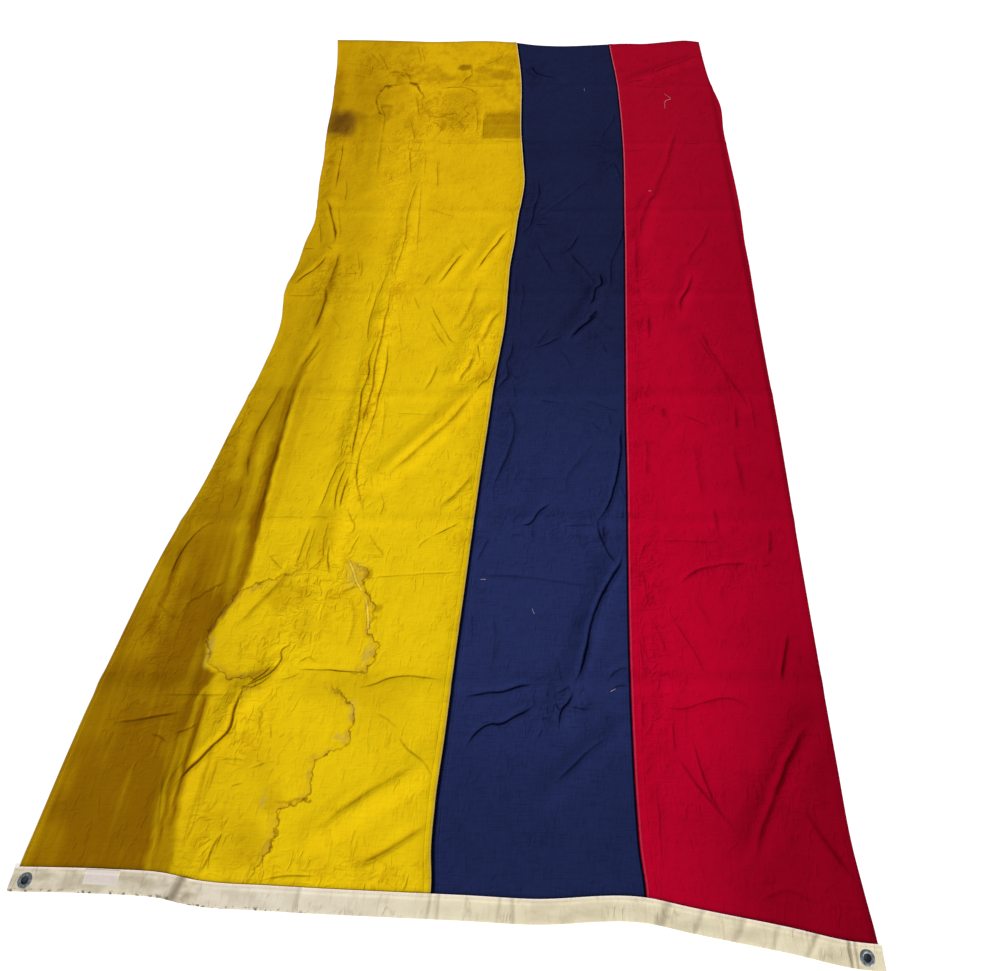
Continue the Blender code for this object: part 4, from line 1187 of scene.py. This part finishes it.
def stainYellow(piece, x, a, fromSeam):
    # the marks' edges wander, so all of them are looked up a little to one side or the other
    wanderX = wandered(x, x, a, (0.006, 0.030, 0.12, 50), (0.003, 0.010, 0.02, 53))
    wanderA = wandered(a, x, a, (0.010, 0.025, 0.03, 54), (0.005, 0.010, 0.012, 55))
    # painted shade along the seam is added to the soil
    soilAndShade = brownAt(x, a, wanderX, wanderA) + 0.10 * fade(fromSeam, 0.07)
    addAttribute(piece, "soilAndShade", fill(np.clip(soilAndShade, 0, 1.15)))
    addAttribute(piece, "blot", fill(np.clip(blotAt(x, a, wanderA), 0, 1)))
    offset, strength = np.full(x.shape, 0.03), np.zeros(x.shape)
    for strong, *points in rings:
        s, share = nearestOn(smoothLine(points), x, a)
        offset, strength = nearer(s, strong * taperedEnds(share, 0.2), offset, strength)
    addAttribute(piece, "ringOffset", fill(offset))
    addAttribute(piece, "ringStrength", fill(strength * (1 - step(np.abs(offset), 0.008, 0.014))))
    faded = 0.75 + 0.4 * hills(x, a, 0.012, 0.012, 60)
    haze = [strong * roundMark(wanderX, wanderA, *mark) * faded for *mark, strong in paleMarks]
    addAttribute(piece, "haze", fill(np.clip(np.max(haze, axis=0), 0, 1)))
    inside = np.max([signedInside(outline, x, a) for outline in tideMarks], axis=0)
    shows = np.max([fade(np.hypot(x - u, a - v), reach * 1.3) for u, v, reach in tideShows], axis=0)
    addAttribute(piece, "tideOffset", fill(np.clip(inside, -0.03, 0.03)))
    addAttribute(piece, "tideStrength", fill(np.clip(1.6 * shows, 0, 1)))


def panel(name, node, material, across, ride, fromSeam, shade, dulls=(0.5, 2.9)):
    # One panel and what its finish reads: creases, how crumpled it is, the distance from its seam, how far
    # it has come to its colour at the fly, and its painted shade, with painted shade along the fly's hem and
    # a painted shadow beside the heading's edge.
    rows = panelRows()[:, None]
    along, height, offset, strength = lie(across, rows)
    top = height + lay["cloth"] + ride
    piece = clothSheet(name, across, along, top, lay["cloth"], node, material)
    fromFly = lay["flyEnd"] - rows + 0 * across
    # painted shade along the fly's hem and painted shadow just past the heading's edge
    hemAndHeadingShade = 0.60 * (1 - step(fromFly, 0.004, 0.018)) + 0.5 * fade(rows - lay["headingWidth"], 0.008)
    for k in range(cloth["layers"]):
        addAttribute(piece, f"creaseOffset{k}", fill(offset[k]))
        addAttribute(piece, f"creaseStrength{k}", fill(strength[k]))
    addAttribute(piece, "crumpled", fill(crumpledAt(across, along)))
    addAttribute(piece, "fromSeam", fill(np.clip(fromSeam, -0.01, 0.03)))
    addAttribute(piece, "far", fill(step(along, *dulls)))
    addAttribute(piece, "shade", fill(np.clip(shade(across, along) + hemAndHeadingShade, 0, 1)))
    print(name, across.shape, "points")
    return piece, along


def columnsBetween(low, high, shares):
    # columns of points from one edge of a panel to the other
    return low + (high - low) * shares[None, :]


def yellowShade(x, a):
    # painted shade along the first storage crease
    return 0.14 * fade(np.abs(a - 0.405), 0.035)


def blueShade(x, a):
    # painted shade: darker towards the red, near the heading, and in a band three quarters of the way along
    nearHoist = 1 - step(a, 0.10, 0.45)
    return 0.06 * step(x, 0.15, 0.35) + 0.38 * nearHoist + 0.14 * fade(np.abs(a - 2.3), 0.10)


def redShade(x, a):
    # painted shade: darker towards the outer edge and the hoist, beside the heading and along the outer hem,
    # and a little less dark in the hoist's corner
    towardsHoist = 0.10 + 0.32 * (1 - step(a, 1.0, 3.0)) + 0.30 * (1 - step(a, 0.35, 0.65))
    besideHeading = 0.30 * step(x, 0.36, 0.54) * (1 - step(x, 0.56, 0.68)) * (1 - step(a, 0.12, 0.32))
    corner = 0.06 * step(x, 0.60, 0.70) * (1 - step(a, 0.10, 0.25))
    nearHoist = 0.10 * (1 - step(a, 0.12, 0.45))
    hem = 0.35 * fade(np.abs(x - 0.745), 0.014)
    return step(x, 0.46, 0.74) * towardsHoist + besideHeading - corner + nearHoist + hem


lines = [through(sections, k, panelRows()[:, None]) for k in (1, 2, 3, 4)]
leftLine, leftSeam, rightSeam, rightLine = lines
# columns of points over a hem and over a seam's lap, from the edge and from the seam; and how far over
# the lap an outer panel has climbed onto the middle one
hemSteps = np.array([0.0, 0.0085, 0.011])[None, :]
lapSteps = np.array([0.020, 0.015, 0.010, 0.005, 0.0012, 0.0])[None, :]
lapRide = layer * np.array([0, 0.5, 1, 1, 1, 1])

shares = spaced(143, ((0, 1), (0.1, 1), (0.16, 1.5), (0.8, 1.5), (0.86, 1), (1, 1)))
middle = columnsBetween(leftLine + hemSteps[:, -1:], leftSeam - lapSteps[:, :1], shares)
yellowAcross = np.hstack([leftLine + hemSteps, middle[:, 1:-1], leftSeam - lapSteps])
yellowRide = np.concatenate([np.zeros(yellowAcross.shape[1] - len(lapRide)), lapRide])[None, :]
yellowPanel, yellowAlong = panel(
    "yellow_cotton_panel", "panel_yellow", yellowCotton, yellowAcross, yellowRide,
    leftSeam - yellowAcross, yellowShade,
)
stainYellow(yellowPanel, yellowAcross, yellowAlong, leftSeam - yellowAcross)

inner = columnsBetween(leftSeam - lay["lap"], rightSeam + lay["lap"], np.linspace(0, 1, 127))
bluePanel, _ = panel(
    "blue_cotton_panel", "panel_blue", blueCotton, inner, 0.0,
    np.minimum(inner - leftSeam, 1.8 * (rightSeam - inner)), blueShade, (0.7, 1.65),
)
middle = columnsBetween(rightSeam + lapSteps[:, :1], rightLine - hemSteps[:, -1:], np.linspace(0, 1, 120))
redAcross = np.hstack([rightSeam + lapSteps[:, ::-1], middle[:, 1:-1], (rightLine - hemSteps)[:, ::-1]])
redRide = np.concatenate([lapRide[::-1], np.zeros(redAcross.shape[1] - len(lapRide))])[None, :]
redPanel, _ = panel(
    "red_cotton_panel", "panel_red", redCotton, redAcross, redRide, redAcross - rightSeam,
    redShade,
)
print("panels laid")

heading = {
    "ends": (-0.768, 0.753),
    "alone": 2 * lay["cloth"] + lay["gap"],  # thickness of the folded canvas
    "overPanel": 3 * lay["cloth"] + 2 * lay["gap"],
    "climb": (0.0285, 0.0325),  # from the fold, where the upper layer rises onto the panels
    "stations": 560,
    "wrinkled": 0.0004,  # height of its small wrinkles
    "leansFrom": 0.02,  # from the fold, where a leaning crease is at its stated place
    # creases across it: across, lean, height in millimetres, width in millimetres
    "creases": (
        (-0.460, 0.3, 1.6, 9), (-0.445, -0.5, 0.4, 5), (-0.250, 0.1, 0.5, 4), (-0.020, 0.1, 0.7, 3),
        (-0.004, 0.0, 0.7, 3), (0.102, 0.1, 0.6, 3), (0.128, -0.1, 0.7, 4), (0.395, 0.4, 1.0, 8),
        (0.450, 0.5, 0.6, 5), (0.520, 0.5, 0.6, 6), (0.580, 0.4, 0.5, 5), (0.640, 0.6, 0.7, 5),
        (0.700, 0.0, 1.5, 3), (0.709, 0.0, 1.3, 2.5),
    ),
    # how dirty it is: across, from 0 to 1
    "dirt": ((-0.77, 0.50), (-0.50, 0.45), (-0.45, 0.75), (-0.42, 0.30), (-0.2, 0.18), (0.12, 0.15),
             (0.2, 0.38), (0.32, 0.18), (0.4, 0.3), (0.6, 0.22), (0.70, 0.30), (0.753, 0.12)),
    # its section, as distances from the fold: the face on the floor, the top, the face on the panels
    "below": (0.026, 0.013),
    "top": (0.0035, 0.006, 0.009, 0.012, 0.015, 0.018, 0.021, 0.024, 0.0265, 0.0285, 0.030, 0.0315, 0.0335,
            0.036),
    "inside": (0.004, 0.013, 0.026),
}


def seamLift(across):
    # the heading passes over two layers where the panels lap
    lift, (leftSeam, rightSeam) = 0, sections[0][2:4]
    for low, high in ((leftSeam - lay["lap"], leftSeam), (rightSeam, rightSeam + lay["lap"])):
        away = np.maximum(np.maximum(low - across, across - high), 0)
        lift = lift + layer * fade(away, 0.010)
    return lift


def acrossCrease(at, lean, width, across, fromFold):
    # how far a place lies to the right of a leaning crease, in widths of the crease
    return (across - at - lean * (fromFold - heading["leansFrom"])) / (mm * width)


def headingTop(across, fromFold):
    # height of the heading's upper face: its thickness, the climb onto the panels, and its wrinkles
    climbed = step(fromFold, *heading["climb"])
    height = heading["alone"] + (heading["overPanel"] - heading["alone"] + seamLift(across)) * climbed
    wrinkles = heading["wrinkled"] * (1 + hills(across, fromFold, 0.035, 0.018, 70))
    height = height + wrinkles * step(fromFold, 0.0, 0.006)
    for at, lean, tall, width in heading["creases"]:
        s = acrossCrease(at, lean, width, across, fromFold)
        height = height + mm * tall * np.exp(-s * s) * step(fromFold, 0.0, 0.008)
    return height + headingLiftAt(across)


def headingProfile(across):
    # the closed section of the folded canvas, as distance from the fold and height, for every station
    width, thick = lay["headingWidth"], lay["cloth"]
    radius = heading["alone"] / 2
    turn = np.linspace(-0.5, -1.5, 9)[1:-1] * math.pi
    lift = headingLiftAt(across)
    one = np.ones_like(across)
    rows = [(u * one, lift) for u in (width, *heading["below"], radius)]
    rows += [(radius * (1 + math.cos(t)) * one, radius * (1 + math.sin(t)) + lift) for t in turn]
    top = (radius, *heading["top"], width)
    rows += [(u * one, headingTop(across, u * one)) for u in top]
    rows += [(u * one, headingTop(across, u * one) - thick) for u in top[:0:-3]]
    rows += [(u * one, thick + 0.15 * lay["gap"] + lift) for u in (*heading["inside"], width)]
    return np.array([u for u, _ in rows]), np.array([z for _, z in rows])


def wornCanvas():
    # pale canvas, greyer at the yellow end, with streaks, grime in blotches, a painted highlight along its
    # edge, small wrinkles with painted shade, painted shade beside its folds, and specks along the fold
    canvas = Finish("canvas", roughness=0.9)
    place = canvas.places()
    threads = canvas.noise(0.0022, 2.0, (1, 1, 1), place)
    blotches = canvas.noise(0.05, 4.0, (1, 0.5, 1), place)
    streaks = canvas.noise(0.012, 3.0, (0.6, 4, 1), place)
    creased = canvas.bell(canvas.noise(0.022, 2.0, (0.8, 2.5, 1), place) - 0.5, 0.08)
    creased = creased * canvas.between(canvas.noise(0.03, 2.0, (1, 1, 1), place), 0.50, 0.68)
    specks = canvas.between(canvas.noise(0.007, 2.0, (1, 1, 1), place), 0.52, 0.62)
    grime = canvas.attribute("dirt") * (0.35 + canvas.between(blotches, 0.35, 0.7) * 1.0)
    colour = canvas.blend(canvas.attribute("grey"), (0.82, 0.74, 0.53), (0.80, 0.73, 0.59))
    colour = canvas.tinted(colour, canvas.between(streaks, 0.5, 0.75) * 0.35, (0.62, 0.58, 0.50))
    colour = canvas.blend(grime, colour, (0.34, 0.27, 0.16))
    # painted highlight along the heading's folded edge
    colour = canvas.blend(canvas.attribute("edge"), colour, (1.0, 0.86, 0.78))
    # painted shade along the canvas's small wrinkles
    colour = canvas.tinted(colour, creased * 0.30, (0.5, 0.45, 0.38))
    colour = canvas.tinted(colour, canvas.attribute("foldShade"), (0.30, 0.26, 0.18))
    colour = canvas.blend(canvas.attribute("foot") * specks, colour, (0.14, 0.11, 0.08))
    return canvas.done(colour, threads * 0.5 - creased * 0.6)


across = np.linspace(*heading["ends"], heading["stations"])
fromFold, height = headingProfile(across)
alongHeading = fromFold + through(foldedEdge, 1, across)[None, :]
points = placed(across, alongHeading, height)
count, stations = alongHeading.shape
faces = gridFaces(count, stations)
last = (count - 1) * stations
faces += [[last + j, last + j + 1, j + 1, j] for j in range(stations - 1)]
faces += [[k * stations for k in range(count)], [k * stations + stations - 1 for k in range(count)][::-1]]
canvasHeading = addPiece("canvas_heading", points, faces, ("heading",), wornCanvas())
# what its finish reads: the dirt, the painted highlight along the edge, the foot along the fold, the painted
# shade beside the folds and the grey end
addAttribute(canvasHeading, "dirt", np.broadcast_to(straight(heading["dirt"], 1, across), fromFold.shape))
addAttribute(canvasHeading, "edge", step(fromFold, 0.0350, 0.0372))
addAttribute(canvasHeading, "foot", (1 - step(fromFold, 0.001, 0.007)) * (1 - step(across, -0.30, -0.18)))
foldShade = 0 * fromFold
# painted shade on the side of each crease away from the light
for at, lean, tall, width in heading["creases"]:
    s = acrossCrease(at, lean, width, across, fromFold)
    foldShade = foldShade + 0.45 * tall * (np.exp(-((s + 1) ** 2)) - 0.2 * np.exp(-((s - 1) ** 2)))
addAttribute(canvasHeading, "foldShade", np.clip(foldShade, 0, 1))
addAttribute(canvasHeading, "grey", np.broadcast_to(1 - step(across, -0.35, 0.15), fromFold.shape))


def outward(piece):
    # faces turned to point outwards
    bm = bmesh.new()
    bm.from_mesh(piece.data)
    bmesh.ops.recalc_face_normals(bm, faces=bm.faces)
    bm.to_mesh(piece.data)
    bm.free()


outward(canvasHeading)

eyelet = {
    "steps": 48, "hole": 0.0066, "rim": 0.0125, "wall": 0.0009, "flange": 0.0008, "dome": 0.0007,
    "punchSteps": 32, "punchEnds": (-0.01, 0.02),  # the cylinder that cuts the canvas, and its two heights
}


def turnedEyelet(name, node):
    # a ring turned from one closed section: a domed flange above, a barrel, and a flat flange below
    low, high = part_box(node)
    middle, bottom, top = (low + high) / 2, low.z, high.z
    hole, rim, flange = eyelet["hole"], eyelet["rim"], eyelet["flange"]
    barrel = hole + eyelet["wall"]
    t = np.linspace(0, 1, 9)
    lip = top - flange * 0.55
    dome = [(hole + (rim - hole) * s, lip + eyelet["dome"] * math.sin(math.pi * s)) for s in t]
    outside = [(rim, top - flange), (barrel, top - flange), (barrel, bottom + flange), (rim, bottom + flange)]
    section = np.array([(hole, bottom), *dome, *outside, (rim, bottom)])
    angle = around(eyelet["steps"])
    ring = np.stack([
        middle.x + section[:, :1] * np.cos(angle),
        middle.y + section[:, :1] * np.sin(angle),
        np.broadcast_to(section[:, 1:], (len(section), len(angle))),
    ], -1)
    faces = tubeFaces(len(section), len(angle), closed=True)
    piece = addPiece(name, ring, faces, (node,), metalFinish)
    outward(piece)
    return middle


def punched(piece, centre):
    # the canvas with a hole for an eyelet's barrel
    steps = eyelet["punchSteps"]
    radius = eyelet["hole"] + eyelet["wall"] + lay["gap"]
    rim = [centre.x + radius * np.cos(around(steps)), centre.y + radius * np.sin(around(steps))]
    ends = [np.column_stack([*rim, np.full(steps, z)]) for z in eyelet["punchEnds"]]
    caps = [list(range(steps))[::-1], list(range(steps, 2 * steps))]
    punch = bpy.data.meshes.new("punch")
    punch.from_pydata(np.vstack(ends), [], tubeFaces(2, steps) + caps)
    cutter = bpy.data.objects.new("punch", punch)
    bpy.context.scene.collection.objects.link(cutter)
    cut = piece.modifiers.new("eyelet hole", "BOOLEAN")
    cut.object, cut.operation, cut.solver = cutter, "DIFFERENCE", "EXACT"
    bpy.context.view_layer.update()
    graph = bpy.context.evaluated_depsgraph_get()
    holed = bpy.data.meshes.new_from_object(piece.evaluated_get(graph), depsgraph=graph)
    piece.modifiers.clear()
    piece.data = holed
    bpy.data.objects.remove(cutter)


metal = Finish("tarnished metal", roughness=0.42, metallic=1.0, gloss=0.5)
dull = metal.noise(0.004, 3.0, (1, 1, 1), metal.places())
metalFinish = metal.done(
    metal.blend(metal.between(dull, 0.35, 0.65), (0.20, 0.22, 0.24), (0.07, 0.08, 0.09)),
    roughness=0.36 + dull * 0.25,
)
centres = [
    turnedEyelet("eyelet_right_metal", "eyelet_right"),
    turnedEyelet("eyelet_left_metal", "eyelet_left"),
]
for centre in centres:
    punched(canvasHeading, centre)
print("heading punched, eyelets set")

label = {"ends": (-0.640, -0.578), "fromFold": (0.0135, 0.0365), "border": 0.0035, "blurred": 0.001}
tape = Finish("label tape", roughness=0.8)
unevenNoise = tape.noise(0.006, 3.0, (1, 1, 1), tape.places())
inside = tape.blend(tape.between(unevenNoise, 0.2, 0.8), (0.66, 0.58, 0.54), (0.70, 0.63, 0.58))
tapeFinish = tape.done(tape.blend(tape.attribute("field"), (0.70, 0.65, 0.55), inside), unevenNoise * 0.2)

u = np.linspace(*label["fromFold"], 25)[:, None]
x = np.linspace(*label["ends"], 49)[None, :]
u, x = np.broadcast_arrays(u, x)
labelTop = headingTop(x, u) + lay["gap"] + lay["cloth"] * 0.8
plainLabel = clothSheet("plain_label", x, u + through(foldedEdge, 1, x), labelTop, lay["cloth"] * 0.5,
                        "label", tapeFinish)
fromBorder = np.minimum(np.minimum(x - x.min(), x.max() - x), np.minimum(u - u.min(), u.max() - u))
inField = step(fromBorder, label["border"] - label["blurred"], label["border"] + label["blurred"])
addAttribute(plainLabel, "field", fill(inField))

thread = {
    "pitch": 0.0035, "length": 0.0024, "width": 0.00055, "height": 0.00035,
    "fromHeading": 0.004,  # clear of the heading, the fly and its own row's ends
    "fromCorner": 0.006,
    "fromEyelet": 0.002,
    "hem": 0.008,  # how far inside an edge a hem's row runs
    "lap": 0.0035,  # and how far beside a seam a lap's row runs
    "headingRows": (0.0365, 0.0340),  # from the heading's fold
}


def stitches(name, rows, finish):
    # One short raised thread for each stitch: rings of four points about its middle line and a point at
    # each end. Each row of stitching gives its places and the way it runs.
    places = np.vstack([r[0] for r in rows])
    ways = np.vstack([r[1] for r in rows])
    sides, up = sideways(ways), np.array([0, 0, 1.0])
    half = thread["length"] / 2
    points = [places - ways * half]
    for share in (-0.55, 0.55):
        for side, rise in ((1, 0), (0, 1), (-1, 0), (0, -0.4)):
            points.append(places + ways * half * share + sides * side * thread["width"] / 2
                          + up * rise * thread["height"])
    points.append(places + ways * half)
    points = np.stack(points, 1)
    one = [[0, 1 + (k + 1) % 4, 1 + k] for k in range(4)]
    one += tubeFaces(2, 4, first=1)
    one += [[9, 5 + k, 5 + (k + 1) % 4] for k in range(4)]
    faces = [[v + 10 * n for v in face] for n in range(len(places)) for face in one]
    piece = addPiece(name, points, faces, (), finish)
    outward(piece)
    return piece


def alongRow(column, past, ride):
    # stitches beside the edge or seam in this column of the sections, from the heading to the fly
    clear = thread["fromHeading"]
    rows = np.arange(lay["headingWidth"] + clear, lay["flyEnd"] - clear, thread["pitch"])
    across = through(sections, column, rows) + past
    along, height, _, _ = lie(across, rows)
    return directed(placed(across, along, height + lay["cloth"] + ride))


def flyRow(column, toColumn, past):
    # stitches along the hem at the fly, between the edges or seams in these columns
    low, high = sections[-1][column] + thread["fromCorner"], sections[-1][toColumn] - thread["fromCorner"]
    across = np.arange(low, high, thread["pitch"])
    along, height, _, _ = lie(across, lay["flyEnd"] - past + 0 * across)
    return directed(placed(across, along, height + lay["cloth"]))


def headingRow(fromFold):
    # stitches along the heading at one distance from its fold, clear of the eyelets
    low, high = heading["ends"]
    across = np.arange(low + thread["fromHeading"], high - thread["fromHeading"], thread["pitch"])
    y = fromFold + through(foldedEdge, 1, across) - lay["middleAlong"]
    away = [np.hypot(across - c.x, y - c.y) for c in centres]
    across = across[np.min(away, axis=0) > eyelet["rim"] + thread["fromEyelet"]]
    along = fromFold + through(foldedEdge, 1, across)
    return directed(placed(across, along, headingTop(across, fromFold + 0 * across)))


def directions(places):
    # the way a line of points runs at each of them, as vectors of length 1
    ways = np.gradient(places, axis=0)
    return ways / np.linalg.norm(ways, axis=1)[:, None]


def directed(places):
    # a row of stitches: its places, and the way it runs at each
    return places, directions(places)


def sideways(ways):
    # level vectors to the left of these ways
    return np.column_stack([-ways[:, 1], ways[:, 0], np.zeros(len(ways))])


def threadFinish(name, colour):
    # one plain colour
    return Finish(name, roughness=0.8).done((*colour, 1))


yellowThread = threadFinish("yellow thread", (0.60, 0.40, 0.02))
blueThread = threadFinish("blue thread", (0.03, 0.04, 0.12))
redThread = threadFinish("red thread", (0.42, 0.01, 0.03))
paleThread = threadFinish("pale thread", (0.66, 0.60, 0.46))
hemRow, lapRow = thread["hem"], thread["lap"]
yellowRows = [alongRow(1, hemRow, 0), alongRow(2, -lapRow, layer), flyRow(1, 2, hemRow)]
yellowStitching = stitches("yellow_stitching", yellowRows, yellowThread)
blueStitching = stitches("blue_stitching", [flyRow(2, 3, hemRow)], blueThread)
redRows = [alongRow(3, lapRow, layer), alongRow(4, -hemRow, 0), flyRow(3, 4, hemRow)]
redStitching = stitches("red_stitching", redRows, redThread)
headingStitching = stitches("heading_stitching", [headingRow(u) for u in thread["headingRows"]], paleThread)
print("stitched")

# loose lint: the places each thread runs through, across and along
lint = {
    "radius": 0.0004,
    "sides": 5,
    "threads": (
        ((0.565, 2.650), (0.585, 2.615), (0.565, 2.605), (0.560, 2.580), (0.560, 2.550)),
        ((0.138, 0.572), (0.140, 0.566), (0.143, 0.560)),
        ((0.304, 0.392), (0.308, 0.394), (0.314, 0.397)),
        ((0.262, 2.690), (0.261, 2.682), (0.263, 2.674)),
        ((0.472, 2.054), (0.476, 2.056), (0.480, 2.055)),
        ((0.021, 0.641), (0.026, 0.642), (0.032, 0.641)),
    ),
}


def lintThreads(finish):
    # thin tubes carried along smooth lines just over the cloth
    points, faces, sides = [], [], lint["sides"]
    angle, up = around(sides)[None, :, None], np.array([0, 0, 1.0])
    for line in lint["threads"]:
        path = smoothLine(line)
        rows = path[:, 1]
        for _ in range(3):  # the row whose cloth lies at the wanted distance along
            rows = rows - (lie(path[:, 0], rows)[0] - path[:, 1])
        height = lie(path[:, 0], rows)[1] + lay["cloth"] + lint["radius"]
        middle = placed(path[:, 0], path[:, 1], height)
        left = sideways(directions(middle))[:, None]
        first, n = sum(len(p) for p in points), len(middle)
        tube = middle[:, None] + lint["radius"] * (np.cos(angle) * left + np.sin(angle) * up)
        points.append(tube.reshape(-1, 3))
        faces += tubeFaces(n, sides, first)
        last = first + (n - 1) * sides
        faces += [list(range(first, first + sides))[::-1], list(range(last, last + sides))]
    piece = addPiece("lint_threads", np.vstack(points), faces, (), finish)
    outward(piece)
    return piece


lintThreads(threadFinish("lint", (0.55, 0.40, 0.42)))

ground = {"size": 14.0, "height": -0.0002}  # just under the cloth, so that no two faces share a place
corners = [(x * ground["size"] / 2, y * ground["size"] / 2, ground["height"])
           for x, y in ((-1, -1), (1, -1), (1, 1), (-1, 1))]
floorMesh = bpy.data.meshes.new("floor")
floorMesh.from_pydata(corners, [], [(0, 1, 2, 3)])
floor = bpy.data.objects.new("floor", floorMesh)
bpy.context.scene.collection.objects.link(floor)
floorFinish = Finish("pale floor", roughness=1.0)
seenRays = ("Is Camera Ray", "Is Glossy Ray", "Is Transmission Ray")


def seenWhite(finish):
    # 1 for rays from the camera, from gloss and through clear things, 0 for the rays that light
    camera, gloss, clear = (finish.node("ShaderNodeLightPath", out=k) for k in seenRays)
    return camera + gloss + clear


floorFinish.shader.inputs["Emission Strength"].default_value = 1.0
here = floorFinish.places()
clear = 1.0
for centre in centres:  # painted shade: inside the eyelets' holes the floor is dark
    spot = (centre.x, centre.y, ground["height"])
    apart = floorFinish.node("ShaderNodeVectorMath", {"operation": "DISTANCE"}, {0: here, 1: spot}, out=1)
    clear = floorFinish.between(apart, eyelet["hole"], eyelet["hole"] + 0.001) * clear
bare = floorFinish.blend(clear, (0.05, 0.06, 0.07), (0.85, 0.85, 0.85))
floorFinish.connect(floorFinish.shader.inputs["Base Color"], bare)
shown = floorFinish.blend(seenWhite(floorFinish) * clear, (0, 0, 0), (0.4, 0.4, 0.4))
floorFinish.connect(floorFinish.shader.inputs["Emission Color"], shown)
floorMesh.materials.append(floorFinish.material)

light = {"world": 0.55, "sun": 2.6, "soft": 10.0, "from": (0.62, -0.66, 0.56)}
world = bpy.data.worlds.new("studio")
bpy.context.scene.world = world
world.use_nodes = True
sky = world.node_tree
background = sky.nodes["Background"]
rays = sky.nodes.new("ShaderNodeLightPath")
strength = light["world"]
for kind in seenRays:
    brighter = sky.nodes.new("ShaderNodeMix")
    brighter.inputs[3].default_value = 1.0
    sky.links.new(rays.outputs[kind], brighter.inputs[0])
    if kind == "Is Camera Ray":
        brighter.inputs[2].default_value = strength
    else:
        sky.links.new(strength, brighter.inputs[2])
    strength = brighter.outputs[0]
sky.links.new(strength, background.inputs["Strength"])
background.inputs["Color"].default_value = (1, 1, 1, 1)

lamp = bpy.data.lights.new("key", "SUN")
lamp.energy, lamp.angle = light["sun"], math.radians(light["soft"])
key = bpy.data.objects.new("key", lamp)
key.location = Vector(light["from"]) * 5
key.rotation_euler = Vector(light["from"]).to_track_quat("Z", "Y").to_euler()
bpy.context.scene.collection.objects.link(key)

camera = {"lens": 25.2, "tilt": 32.82, "shift": -0.078, "place": (0.2375, -1.5225, 1.4255)}
lens = bpy.data.cameras.new("camera")
lens.lens, lens.sensor_width, lens.shift_x = camera["lens"], 36, camera["shift"]
viewer = bpy.data.objects.new("camera", lens)
viewer.location = camera["place"]
viewer.rotation_euler = (math.radians(camera["tilt"]), 0, 0)
bpy.context.scene.collection.objects.link(viewer)
bpy.context.scene.camera = viewer
bpy.context.scene.view_settings.view_transform = "Standard"
print("lit and framed")
